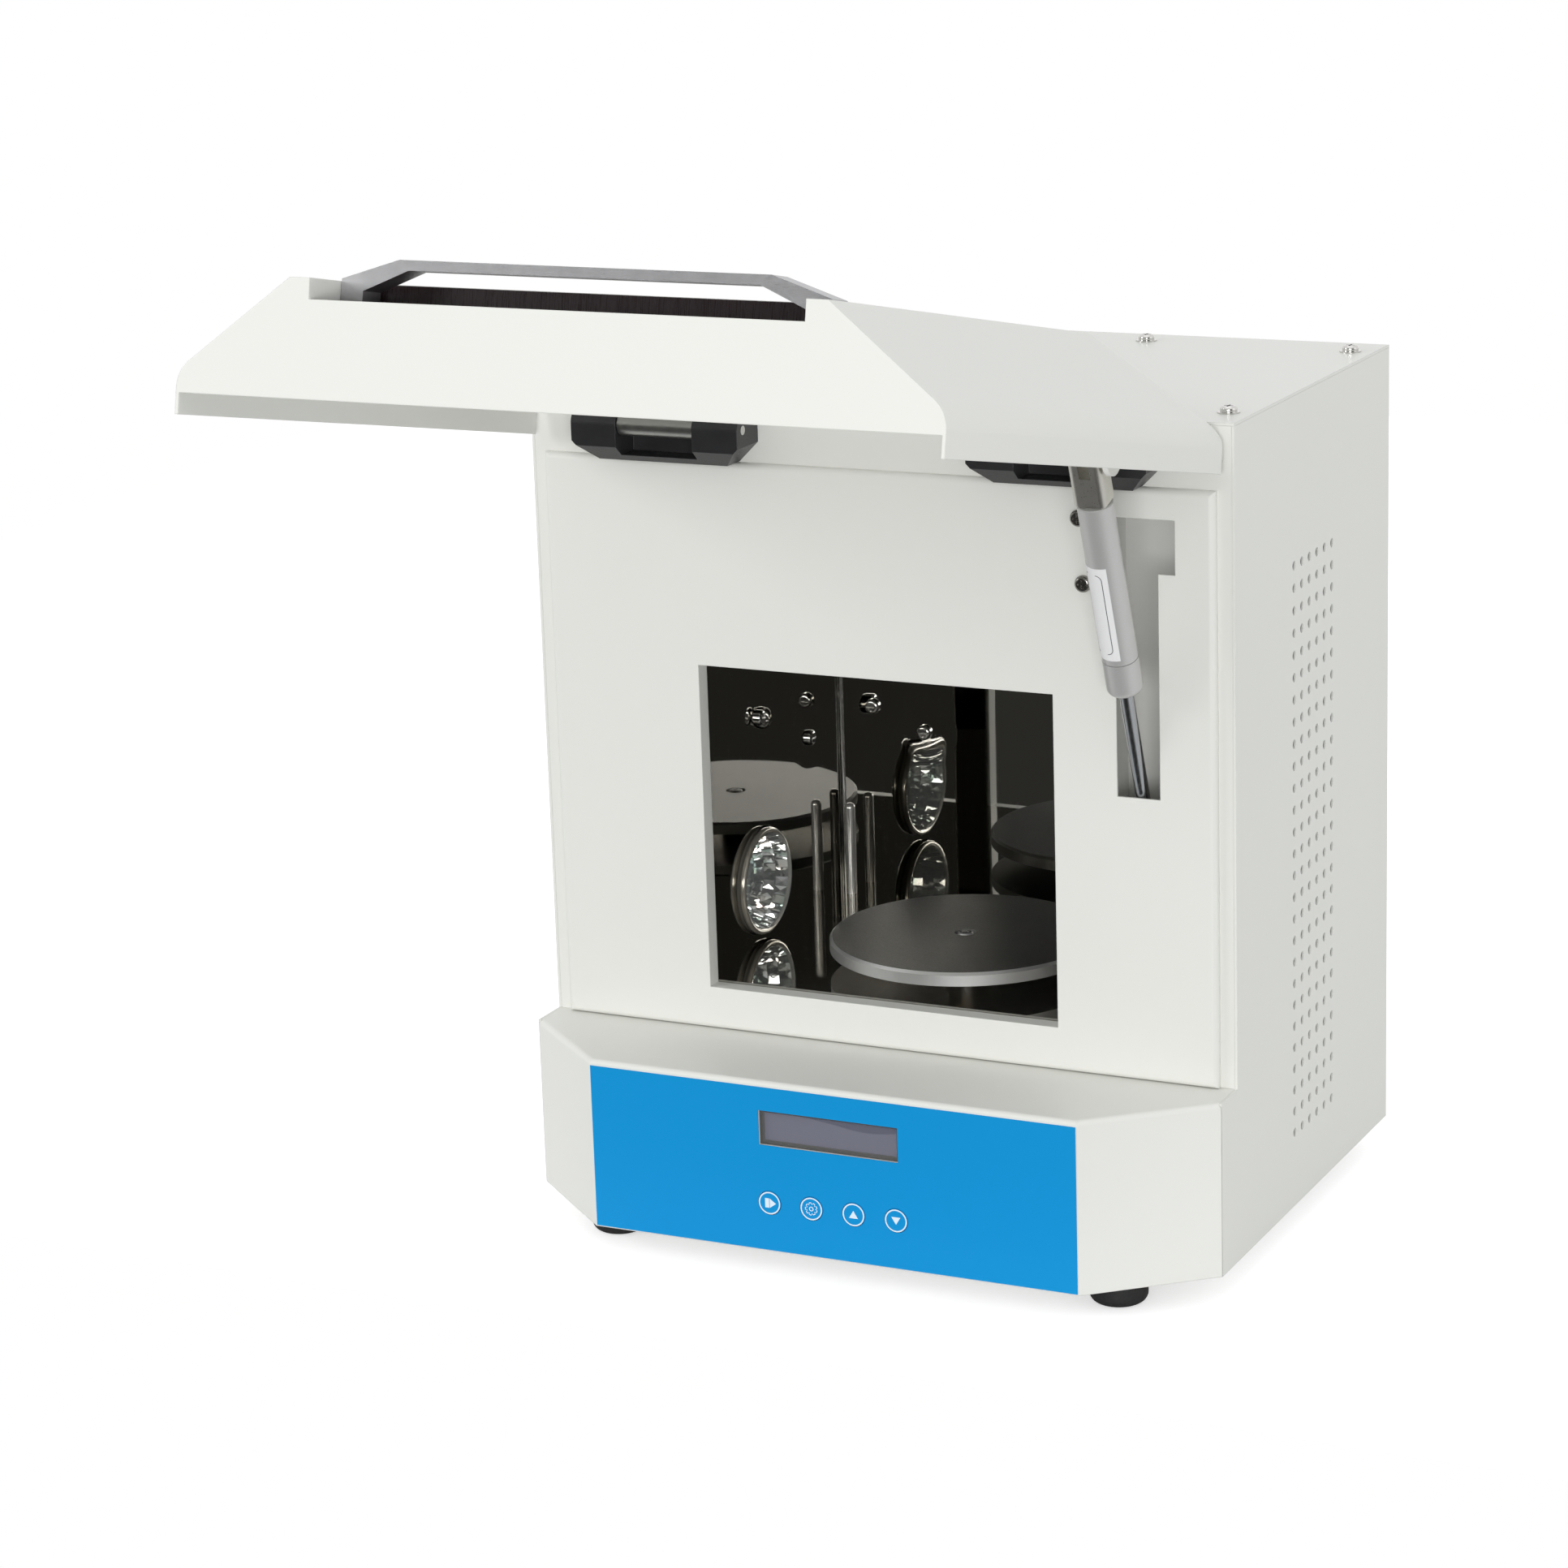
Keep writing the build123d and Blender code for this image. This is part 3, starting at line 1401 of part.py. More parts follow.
fixed["lamp_reflectors"] = [place_lamp(lamp_reflector(), side) for side in (-1, 1)]
fixed["lamp_glasses"] = [place_lamp(lamp_window(), side) for side in (-1, 1)]
fixed["lamp_bulbs"] = [place_lamp(lamp_bulb(), side) for side in (-1, 1)]
fixed["lamp_mounts"] = [
    place_lamp(piece, side) for side in (-1, 1) for piece in (lamp_socket(), lamp_bracket())
]

hood = {
    "door_shell": door_shell(),
    "door_recess_plate": recess_plate(),
    "door_handle": handle(),
    "hinge_leaves": [hinge_leaf(side * hinge_centre) for side in (-1, 1)],
    "strut_door_bracket": door_bracket(),
}
lift = Pos(0, hinge_y, hinge_z) * Rot(-door_open_angle, 0, 0) * Pos(0, -hinge_y, -hinge_z)

nodes = {}
for node, pieces in fixed.items():
    nodes[node] = pieces if isinstance(pieces, list) else [pieces]
for node, pieces in hood.items():
    nodes[node] = [lift * piece for piece in (pieces if isinstance(pieces, list) else [pieces])]

whole = Compound(children=[Compound(piece.solids()) for group in nodes.values() for piece in group])
box = whole.bounding_box()
centre_x = (box.min.X + box.max.X) / 2
centre_y = (box.min.Y + box.max.Y) / 2
shift = Pos(-centre_x, -centre_y, -box.min.Z)
print("shift", -centre_x, -centre_y, -box.min.Z)
print("box", box.size)
print("strut", strut_low, strut_top_open, strut_line, strut_reach, strut_closed_reach)
for node, group in nodes.items():
    solids = [shift * solid for piece in group for solid in piece.solids()]
    shape = solids[0] if len(solids) == 1 else Compound(children=solids)
    shape.label = node
    export_step(shape, f"parts/{node}.step")
print(len(nodes), "nodes")
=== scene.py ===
"""Looks of the dental lab light curing unit: materials, printed marks, lamps and light."""

from math import atan2, cos, hypot, pi, radians, sin, sqrt

import bmesh
import bpy
from mathutils import Matrix, Vector


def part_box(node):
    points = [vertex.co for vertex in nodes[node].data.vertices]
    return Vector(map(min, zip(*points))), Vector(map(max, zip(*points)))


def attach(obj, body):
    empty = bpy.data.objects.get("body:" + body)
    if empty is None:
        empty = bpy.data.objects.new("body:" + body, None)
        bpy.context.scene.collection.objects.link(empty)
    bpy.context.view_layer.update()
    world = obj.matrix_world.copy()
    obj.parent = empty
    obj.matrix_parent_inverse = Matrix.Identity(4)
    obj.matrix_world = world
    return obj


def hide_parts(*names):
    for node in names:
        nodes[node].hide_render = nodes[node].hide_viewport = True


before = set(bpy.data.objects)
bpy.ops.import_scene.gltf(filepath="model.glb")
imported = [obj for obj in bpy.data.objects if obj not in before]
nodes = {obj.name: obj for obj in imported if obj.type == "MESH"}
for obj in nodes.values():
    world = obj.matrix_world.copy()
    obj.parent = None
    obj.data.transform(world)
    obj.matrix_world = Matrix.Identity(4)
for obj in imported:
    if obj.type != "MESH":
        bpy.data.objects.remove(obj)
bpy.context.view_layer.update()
MM = 0.001


# ---- node helpers ----
class Graph:
    """A small wrapper round one node tree."""

    def __init__(self, tree):
        self.tree = tree
        self.nodes = tree.nodes
        self.nodes.clear()

    def add(self, kind, **inputs):
        node = self.nodes.new("ShaderNode" + kind)
        settings = inputs.pop("settings", {})
        for key, value in settings.items():
            setattr(node, key, value)
        for key, value in inputs.items():
            socket = node.inputs[int(key[1:])] if key[0] == "_" else node.inputs[key.replace("_", " ")]
            if isinstance(value, bpy.types.NodeSocket):
                self.tree.links.new(value, socket)
            else:
                socket.default_value = value
        return node

    def place(self):
        """Object coordinates, in metres."""
        return self.add("TexCoord").outputs["Object"]

    def noise(self, scale, detail=3.0, rough=0.5, stretch=(1, 1, 1)):
        where = self.add("Mapping", Vector=self.place(), Scale=stretch).outputs[0]
        return self.add("TexNoise", Vector=where, Scale=scale, Detail=detail, Roughness=rough).outputs["Fac"]

    def blend(self, factor, first, second):
        mix = self.add("Mix", settings={"data_type": "RGBA"})
        for socket, value in ((mix.inputs[0], factor), (mix.inputs[6], first), (mix.inputs[7], second)):
            if isinstance(value, bpy.types.NodeSocket):
                self.tree.links.new(value, socket)
            else:
                socket.default_value = value
        return mix.outputs[2]

    def span(self, value, low_in, high_in, low_out, high_out):
        node = self.add("MapRange", Value=value)
        for index, number in zip((1, 2, 3, 4), (low_in, high_in, low_out, high_out)):
            node.inputs[index].default_value = number
        return node.outputs[0]

    def bump(self, height, strength, distance, edge=0.0):
        """A relief, over edges that look rounded by a radius in metres where one is given."""
        node = self.add("Bump", Height=height, Strength=strength, Distance=distance)
        if edge:
            rounded = self.add("Bevel", settings={"samples": 8}, Radius=edge)
            self.tree.links.new(rounded.outputs[0], node.inputs["Normal"])
        return node.outputs[0]


def rgba(color, gain=1.0):
    return (*[min(1.0, c * gain) for c in color[:3]], 1.0)


def surface(name, color, rough, metal=0.0, vary=0.06, spots=18.0, grain=900.0, depth=0.03, stretch=(1, 1, 1),
            rough_vary=0.06, coat=0.0, alpha=1.0, specular=0.5, edge=0.0):
    """One procedural material: blotches in its colour, a fine grain in its relief, and uneven gloss."""
    material = bpy.data.materials.new(name)
    material.use_nodes = True
    graph = Graph(material.node_tree)
    blotch = graph.noise(spots, 4.0, 0.6)
    fine = graph.noise(grain, 2.0, 0.5, stretch)
    paint = graph.blend(blotch, rgba(color, 1 - vary), rgba(color, 1 + vary))
    gloss = graph.span(fine, 0.3, 0.7, max(0.0, rough - rough_vary), min(1.0, rough + rough_vary))
    normal = graph.bump(fine, depth, 0.0002, edge)
    shader = graph.add("BsdfPrincipled", Base_Color=paint, Roughness=gloss, Normal=normal)
    shader.inputs["Metallic"].default_value = metal
    shader.inputs["Coat Weight"].default_value = coat
    shader.inputs["Coat Roughness"].default_value = 0.15
    shader.inputs["Alpha"].default_value = alpha
    shader.inputs["Specular IOR Level"].default_value = specular
    graph.add("OutputMaterial", Surface=shader.outputs[0])
    return material


WHITE = (0.80, 0.803, 0.765)
materials = {
    "coat": surface("powder_coat", WHITE, 0.42, vary=0.012, spots=7.0, grain=1400.0, depth=0.10, coat=0.08,
                    edge=0.0007),
    "coat_side": surface("powder_coat_side", WHITE, 0.45, vary=0.015, spots=6.0, grain=1400.0, depth=0.12,
                         edge=0.0005),
    "blue": surface("blue_overlay", (0.002, 0.285, 0.655), 0.38, vary=0.03, specular=0.2, spots=5.0, grain=2600.0, depth=0.10),
    "print": surface("white_print", (0.75, 0.86, 0.95), 0.45, vary=0.02, grain=2600.0, depth=0.05),
    "lens": surface("display_lens", (0.9, 0.92, 0.95), 0.06, vary=0.0, alpha=0.06, depth=0.0),
    "frame": surface("display_frame", (0.062, 0.062, 0.055), 0.35, vary=0.08, grain=1800.0),
    "steel": surface("satin_steel", (0.42, 0.42, 0.40), 0.34, metal=1.0, vary=0.08, spots=40.0, grain=1500.0,
                     depth=0.10, stretch=(1, 1, 0.08)),
    "chrome": surface("bright_steel", (0.62, 0.61, 0.59), 0.13, metal=1.0, vary=0.05, spots=60.0, grain=900.0,
                      depth=0.04),
    "dark_screw": surface("dark_screw", (0.30, 0.29, 0.27), 0.25, metal=1.0, vary=0.15, spots=200.0,
                          grain=1500.0, depth=0.08),
    "alu": surface("satin_aluminium", (0.56, 0.56, 0.555), 0.38, metal=0.45, vary=0.04, spots=30.0, grain=2200.0,
                   depth=0.16, rough_vary=0.10),
    "strap": surface("sheared_aluminium", (0.47, 0.47, 0.48), 0.42, metal=1.0, vary=0.14, spots=160.0,
                     grain=800.0, depth=0.25, stretch=(1, 6, 6)),
    "nickel": surface("plated_fork", (0.60, 0.585, 0.54), 0.33, metal=1.0, vary=0.03, spots=25.0, grain=1600.0,
                      depth=0.02),
    "post": surface("post_steel", (0.62, 0.61, 0.58), 0.18, metal=0.75, vary=0.05, spots=60.0, grain=900.0,
                    depth=0.04, stretch=(1, 1, 0.08)),
    # A lighter copy of the white powder coat for the strut channel: painted light, standing in for the lamp light
    # that reaches into the slot.
    "coat_painted_light": surface("powder_coat_painted_light", (0.93, 0.93, 0.90), 0.45, vary=0.012, spots=7.0, grain=1400.0,
                          depth=0.10),
    "rod": surface("ground_rod", (0.42, 0.43, 0.45), 0.14, metal=1.0, vary=0.05, spots=60.0, grain=900.0,
                   depth=0.03, stretch=(1, 1, 0.05)),
    "cast": surface("black_cast", (0.022, 0.022, 0.024), 0.36, vary=0.2, spots=60.0, grain=1500.0, depth=0.22,
                    edge=0.0005),
    "tint": surface("dark_plate", (0.030, 0.018, 0.020), 0.30, vary=0.35, spots=90.0, grain=500.0, depth=0.08,
                    stretch=(6, 0.2, 0.2)),
    "black": surface("black_plastic", (0.02, 0.02, 0.022), 0.5, vary=0.1, grain=2000.0, depth=0.15),
    "rubber": surface("rubber", (0.014, 0.014, 0.014), 0.72, vary=0.2, grain=1200.0, depth=0.2),
    "brass": surface("brass", (0.68, 0.47, 0.17), 0.28, metal=1.0, grain=1200.0),
    "board": surface("board", (0.01, 0.12, 0.04), 0.4, vary=0.15, spots=120.0, coat=0.3),
    "paper": surface("paper", (0.83, 0.83, 0.84), 0.55, vary=0.015, grain=1800.0, depth=0.06),
    "ink": surface("ink", (0.07, 0.07, 0.08), 0.5, vary=0.1),
    "ceramic": surface("ceramic", (0.70, 0.66, 0.58), 0.5, vary=0.05),
    "glass": surface("lamp_glass", (0.88, 0.93, 0.92), 0.05, vary=0.03, alpha=0.13, depth=0.0),
    "quartz": surface("quartz", (0.75, 0.78, 0.76), 0.08, vary=0.05, alpha=0.5, depth=0.0),
}


def disc_material():
    """The turntable's top: machined metal with a fine round grain, darker than its bright edge."""
    material = bpy.data.materials.new("turned_disc")
    material.use_nodes = True
    graph = Graph(material.node_tree)
    fine = graph.noise(1600.0, 2.0)
    cloud = graph.noise(22.0, 5.0, 0.6)
    up = graph.add("SeparateXYZ", Vector=graph.add("NewGeometry").outputs["Normal"]).outputs[2]
    top = graph.span(up, 0.85, 0.95, 0.0, 1.0)
    edge = graph.blend(cloud, rgba((0.56, 0.56, 0.55)), rgba((0.68, 0.68, 0.67)))
    face = graph.blend(cloud, rgba((0.095, 0.095, 0.094)), rgba((0.138, 0.138, 0.134)))
    paint = graph.blend(top, edge, face)
    gloss = graph.span(fine, 0.3, 0.7, 0.34, 0.46)
    shader = graph.add("BsdfPrincipled", Base_Color=paint, Roughness=gloss,
                       Normal=graph.bump(fine, 0.12, 0.0002))
    shader.inputs["Metallic"].default_value = 0.85
    graph.add("OutputMaterial", Surface=shader.outputs[0])
    return material


def screen_material():
    """The display's glass: a purple-grey screen with a darker reflection that sags from its top edge."""
    material = bpy.data.materials.new("display_glass")
    material.use_nodes = True
    graph = Graph(material.node_tree)
    lowest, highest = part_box("lcd_screen")
    where = graph.add("SeparateXYZ", Vector=graph.place())
    along = graph.span(where.outputs[0], lowest[0], highest[0], 0.0, 1.0)
    down = graph.span(where.outputs[2], lowest[2], highest[2], 1.0, 0.0)
    off = graph.add("Math", settings={"operation": "SUBTRACT"}, _0=along, _1=SAG_PLACE).outputs[0]
    ratio = graph.add("Math", settings={"operation": "DIVIDE"}, _0=off, _1=SAG_WIDTH).outputs[0]
    square = graph.add("Math", settings={"operation": "MULTIPLY"}, _0=ratio, _1=ratio).outputs[0]
    minus = graph.add("Math", settings={"operation": "MULTIPLY"}, _0=square, _1=-1.0).outputs[0]
    bell = graph.add("Math", settings={"operation": "EXPONENT"}, _0=minus).outputs[0]
    sag = graph.add("Math", settings={"operation": "MULTIPLY"}, _0=bell, _1=SAG_DEPTH).outputs[0]
    margin = graph.add("Math", settings={"operation": "SUBTRACT"}, _0=down, _1=sag).outputs[0]
    plain = graph.span(margin, -0.01, 0.01, 0.0, 1.0)
    grain = graph.noise(700.0, 2.0)
    pale = graph.blend(grain, (0.085, 0.085, 0.135, 1), (0.105, 0.105, 0.16, 1))
    paint = graph.blend(plain, (0.035, 0.035, 0.085, 1), pale)
    shader = graph.add("BsdfPrincipled", Base_Color=paint, Normal=graph.bump(grain, 0.02, 0.0002))
    shader.inputs["Roughness"].default_value = 0.3
    shader.inputs["Specular IOR Level"].default_value = 0.3
    graph.add("OutputMaterial", Surface=shader.outputs[0])
    return material


def facet_material():
    """The reflector's coated facets: silver with green, blue and warm tints that change from facet to facet."""
    material = bpy.data.materials.new("dichroic_facets")
    material.use_nodes = True
    graph = Graph(material.node_tree)
    tint = graph.noise(75.0, 1.0, 0.5)
    ramp = graph.add("ValToRGB", Fac=tint)
    stops = ((0.0, (0.70, 0.52, 0.42)), (0.36, (0.86, 0.87, 0.85)), (0.55, (0.90, 0.91, 0.90)),
             (0.66, (0.62, 0.80, 0.72)), (0.8, (0.55, 0.68, 0.80)))
    elements = ramp.color_ramp.elements
    for index, (spot, color) in enumerate(stops):
        element = elements[index] if index < 2 else elements.new(spot)
        element.position = spot
        element.color = rgba(color)
    shader = graph.add("BsdfPrincipled", Base_Color=ramp.outputs[0],
                       Roughness=graph.span(graph.noise(300.0), 0.3, 0.7, 0.02, 0.06))
    shader.inputs["Metallic"].default_value = 1.0
    graph.add("OutputMaterial", Surface=shader.outputs[0])
    return material


def dented_mirror():
    """The mirror sheets: long waves, and a dimple round each of the screws that pull them back."""
    material = bpy.data.materials.new("dented_mirror")
    material.use_nodes = True
    graph = Graph(material.node_tree)
    swell = graph.noise(8.0, 1.5, 0.4)
    total = graph.span(swell, 0.0, 1.0, 0.0, WAVE_DEPTH)
    for x, y, z in screw_spots:
        spot = graph.add("VectorMath", settings={"operation": "DISTANCE"}, _0=graph.place(), _1=(x, y, z))
        dip = graph.add("MapRange", settings={"interpolation_type": "SMOOTHERSTEP"}, Value=spot.outputs["Value"])
        for index, number in zip((1, 2, 3, 4), (0.0, DENT_REACH, 0.0, DENT_DEPTH)):
            dip.inputs[index].default_value = number
        total = graph.add("Math", settings={"operation": "ADD"}, _0=total, _1=dip.outputs[0]).outputs[0]
    scratch = graph.noise(260.0, 3.0, 0.6, (1, 1, 0.05))
    normal = graph.add("Bump", Height=total, Strength=1.0, Distance=1.0).outputs[0]
    paint = graph.blend(graph.noise(14.0), rgba((0.45, 0.44, 0.41)), rgba((0.52, 0.51, 0.48)))
    shader = graph.add("BsdfPrincipled", Base_Color=paint, Normal=normal,
                       Roughness=graph.span(scratch, 0.45, 0.75, 0.01, 0.045))
    shader.inputs["Metallic"].default_value = 1.0
    graph.add("OutputMaterial", Surface=shader.outputs[0])
    return material


def screw_places():
    """The middle of each screw head of the chamber, from the node's own loose parts."""
    mesh = bmesh.new()
    mesh.from_mesh(nodes["chamber_screws"].data)
    left, spots = set(mesh.verts), []
    while left:
        group, wave = set(), {next(iter(left))}
        while wave:
            group |= wave
            wave = {e.other_vert(v) for v in wave for e in v.link_edges} - group
        left -= group
        spots.append(sum((v.co for v in group), Vector()) / len(group))
    mesh.free()
    merged = []
    for spot in spots:
        if all((spot - other).length > MERGE_REACH for other in merged):
            merged.append(spot)
    return merged


WAVE_DEPTH, DENT_REACH, DENT_DEPTH, MERGE_REACH = 0.00018, 0.018, 0.00026, 0.008
SAG_PLACE, SAG_WIDTH, SAG_DEPTH = 0.78, 0.32, 0.30
screw_spots = screw_places()
materials["disc"] = disc_material()
materials["screen"] = screen_material()
materials["dented"] = dented_mirror()
materials["rim"] = surface("lamp_rim_glass", (0.36, 0.34, 0.29), 0.16, metal=0.55, vary=0.16, spots=45.0,
                           grain=300.0, depth=0.02, coat=0.5)
# The cove is the mirror sheet bent round the corner: the bend is real, and its colour, lighter than the walls, is a
# painted highlight.
materials["cove"] = surface("cove_steel_painted_highlight", (0.66, 0.65, 0.62), 0.16, metal=1.0, vary=0.04, spots=30.0,
                            grain=700.0, depth=0.03)
materials["facets"] = facet_material()

dress = {
    "coat": ("top_cover", "console_shell", "front_frame", "front_panel", "door_shell", "left_side_panel",
             "back_panel", "base_plate", "strut_door_bracket"),
    # The strut channel takes the lighter coat, painted light inside the slot.
    "coat_painted_light": ("strut_channel",),
    "coat_side": ("right_side_panel",),
    "blue": ("panel_label", "start_key", "menu_key", "up_key", "down_key"),
    "screen": ("lcd_screen",),
    "lens": ("lcd_lens",),
    "frame": ("lcd_module",),
    "dented": ("chamber_back_wall", "chamber_side_walls", "chamber_rim", "chamber_floor", "chamber_ceiling"),
    "steel": ("turntable_shaft", "turntable_gearmotor", "standoffs", "hinge_leaves", "strut_anchor_bracket",
              "strut_eye", "lamp_mounts"),
    "chrome": ("top_cover_screws", "chamber_screws", "case_screws", "hinge_pins"),
    "post": ("temperature_probe",),
    "rod": ("strut_rod",),
    "dark_screw": ("front_panel_screws",),
    "alu": ("strut_cylinder", "strut_end_cap", "power_supply"),
    "strap": ("door_handle",),
    "nickel": ("strut_fork", "strut_fork_pin"),
    "cast": ("hinge_bases",),
    "tint": ("door_recess_plate",),
    "black": ("fan_frame", "fan_rotor", "power_inlet", "rocker_case", "rocker_key"),
    "rubber": ("rubber_feet",),
    "brass": ("turntable_bush", "inlet_blades"),
    "board": ("control_board",),
    "paper": ("strut_label",),
    "glass": ("lamp_glasses",),
    "quartz": ("lamp_bulbs",),
    "disc": ("turntable",),
    "facets": ("lamp_reflectors",),
}
for key, names in dress.items():
    for name in names:
        for slot in nodes[name].material_slots:
            slot.material = materials[key]


# ---- mesh helpers ----
def mesh_piece(name, vertices, faces, material, body="cabinet", smooth=False):
    mesh = bpy.data.meshes.new(name)
    mesh.from_pydata([tuple(v) for v in vertices], [], faces)
    mesh.validate()
    mesh.update()
    piece = bpy.data.objects.new(name, mesh)
    bpy.context.scene.collection.objects.link(piece)
    mesh.materials.append(materials[material])
    for polygon in mesh.polygons:
        polygon.use_smooth = smooth
    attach(piece, body)
    return piece


def solid_outline(name, outline, place, thickness, material, body):
    """A flat outline, given as outer and inner loops of equal length or one loop, made into a thin solid."""
    outer, inner = outline
    count = len(outer)
    vertices = []
    for lift in (0.0, thickness):
        vertices += [place(u, v, lift) for u, v in outer]
        vertices += [place(u, v, lift) for u, v in inner or []]
    layer = len(vertices) // 2
    faces = []
    for i in range(count):
        j = (i + 1) % count
        faces.append((i, layer + i, layer + j, j))
        if inner:
            faces.append((count + i, count + j, layer + count + j, layer + count + i))
            faces.append((layer + i, layer + count + i, layer + count + j, layer + j))
            faces.append((i, j, count + j, count + i))
    if not inner:
        faces.append(tuple(range(layer, 2 * layer)))
        faces.append(tuple(reversed(range(layer))))
    return mesh_piece(name, vertices, faces, material, body)


# ---- key marks: a ring and an icon on every key ----
def circle(radius, count=72, wave=None):
    return [
        (cos(2 * pi * i / count) * radius * (wave(i) if wave else 1),
         sin(2 * pi * i / count) * radius * (wave(i) if wave else 1))
        for i in range(count)
    ]


def key_place(name):
    """A function from a point of the key's face, in millimetres, to the frame."""
    lowest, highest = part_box(name)
    x, z = (lowest[0] + highest[0]) / 2, (lowest[2] + highest[2]) / 2
    y = lowest[1]
    return lambda u, v, lift: (x + u * MM, y - lift * MM, z + v * MM)


def gear_wave(index, root):
    """1 on a tooth's tip and root between the teeth, with slanted flanks."""
    phase = index * GEAR_TEETH / GEAR_POINTS % 1
    rise = min(1.0, max(0.0, 2.6 - 6 * abs(phase - 0.5)))
    return root + (1 - root) * rise


GEAR_TEETH, GEAR_POINTS, GEAR_OUT, GEAR_ROOT, GEAR_LINE = 9, 180, 2.95, 2.3, 0.38
RING_OUT, RING_IN, PRINT = 5.1, 4.5, 0.03
for name, body in (("start_key", "start_button"), ("menu_key", "menu_button"), ("up_key", "up_button"),
                   ("down_key", "down_button")):
    place = key_place(name)
    solid_outline(name + "_ring", (circle(RING_OUT), circle(RING_IN)), place, PRINT, "print", body)
    if name == "start_key":
        bar = [(-2.1, -2.15), (-0.15, -2.15), (-0.15, 2.15), (-2.1, 2.15)]
        solid_outline("start_bar", (bar, None), place, PRINT, "print", body)
        arrow = [(0.1, -2.15), (3.1, 0.0), (0.1, 2.15)]
        solid_outline("start_arrow", (arrow, None), place, PRINT, "print", body)
    elif name == "menu_key":
        outer = circle(GEAR_OUT, GEAR_POINTS, lambda i: gear_wave(i, GEAR_ROOT / GEAR_OUT))
        inner = circle(GEAR_OUT - GEAR_LINE, GEAR_POINTS,
                       lambda i: gear_wave(i, (GEAR_ROOT - GEAR_LINE) / (GEAR_OUT - GEAR_LINE)))
        solid_outline("gear_outline", (outer, inner), place, PRINT, "print", body)
        solid_outline("gear_eye", (circle(1.05), circle(0.68)), place, PRINT, "print", body)
    else:
        turn = 1 if name == "up_key" else -1
        arrow = [(-2.1, -1.6 * turn), (2.1, -1.6 * turn), (0.0, 1.8 * turn)]
        arrow = arrow if turn > 0 else arrow[::-1]
        solid_outline(name + "_arrow", (arrow, None), place, PRINT, "print", body)


# ---- lamps: faceted bowls in glass rims ----
BOWL_ROWS, BOWL_FACETS, BOWL_BULGE, BOWL_TILT = 9, 32, 0.05, 0.26
NECK, RIM_IN, RIM_OUT, DEPTH, PROUD, RIM_ROUND = 8.0, 22.3, 24.7, 28.0, 3.4, 0.8


def bowl_point(t, turn):
    """A point of the bowl, in millimetres: t is 0 at the neck and 1 at the rim."""
    radius = NECK + (RIM_IN - NECK) * t
    return Vector((-DEPTH + DEPTH * t * t - 0.4, radius * cos(turn), radius * sin(turn)))


def lamp(prefix, wall_x, facing, y, z):
    """One lamp: flat facets for the bowl and a turned glass rim, in a wall that faces along X."""
    centre = Vector((wall_x + facing * PROUD * MM, y, z))

    def spot(point):
        return centre + Vector((facing * point.x, point.y, point.z)) * MM

    vertices, faces = [], []
    for row in range(BOWL_ROWS):
        for column in range(BOWL_FACETS):
            offset = 0.5 * (row % 2)
            t0, t1 = row / BOWL_ROWS, (row + 1) / BOWL_ROWS
            a0, a1 = (2 * pi * (column + offset + k) / BOWL_FACETS for k in (0, 1))
            corners = [bowl_point(t0, a0), bowl_point(t0, a1), bowl_point(t1, a1), bowl_point(t1, a0)]
            inward = Vector((1, -cos((a0 + a1) / 2), -sin((a0 + a1) / 2))).normalized()
            nod, sway = sin(7.3 * row + 2.1 * column * column), sin(4.7 * row * row + 5.9 * column)
            for corner, one, two in zip(corners, (1, 1, -1, -1), (1, -1, -1, 1)):
                corner += inward * BOWL_TILT * (one * nod + two * sway)
            middle = sum(corners, Vector()) / 4 + inward * BOWL_BULGE
            base = len(vertices)
            vertices += [spot(c) for c in corners] + [spot(middle)]
            faces += [(base + i, base + (i + 1) % 4, base + 4) for i in range(4)]
    bowl = mesh_piece(prefix + "_lamp_facets", vertices, faces, "facets")
    profile = [(-0.6, RIM_IN - 0.4), (0.2, RIM_IN + 0.3), (0.35, RIM_OUT - RIM_ROUND), (0.0, RIM_OUT - 0.3),
               (-RIM_ROUND, RIM_OUT), (-1.9, RIM_OUT), (-2.4, RIM_OUT - 1.0), (-5.2, RIM_OUT - 1.3),
               (-5.7, RIM_OUT - 0.1), (-7.2, RIM_OUT - 0.1), (-8.0, RIM_OUT - 1.2), (-11.0, RIM_OUT - 3.4),
               (-20.0, 17.5), (-28.5, 10.0), (-36.0, 9.6)]
    count = 96
    vertices = [
        spot(Vector((x, r * cos(2 * pi * i / count), r * sin(2 * pi * i / count))))
        for x, r in profile for i in range(count)
    ]
    faces = [
        (row * count + i, row * count + (i + 1) % count, (row + 1) * count + (i + 1) % count,
         (row + 1) * count + i)
        for row in range(len(profile) - 1) for i in range(count)
    ]
    rim = mesh_piece(prefix + "_lamp_rim", vertices, faces, "rim", smooth=True)
    return bowl, rim


inner_left, inner_right = (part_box("chamber_side_walls")[k][0] for k in (0, 1))
sheet = 1.0 * MM
lamp_low, lamp_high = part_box("lamp_reflectors")
lamp_y, lamp_z = (lamp_low[1] + lamp_high[1]) / 2, (lamp_low[2] + lamp_high[2]) / 2
made = lamp("left", inner_left + sheet, 1, lamp_y, lamp_z) + lamp("right", inner_right - sheet, -1, lamp_y, lamp_z)
for piece in made:
    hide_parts("lamp_reflectors")
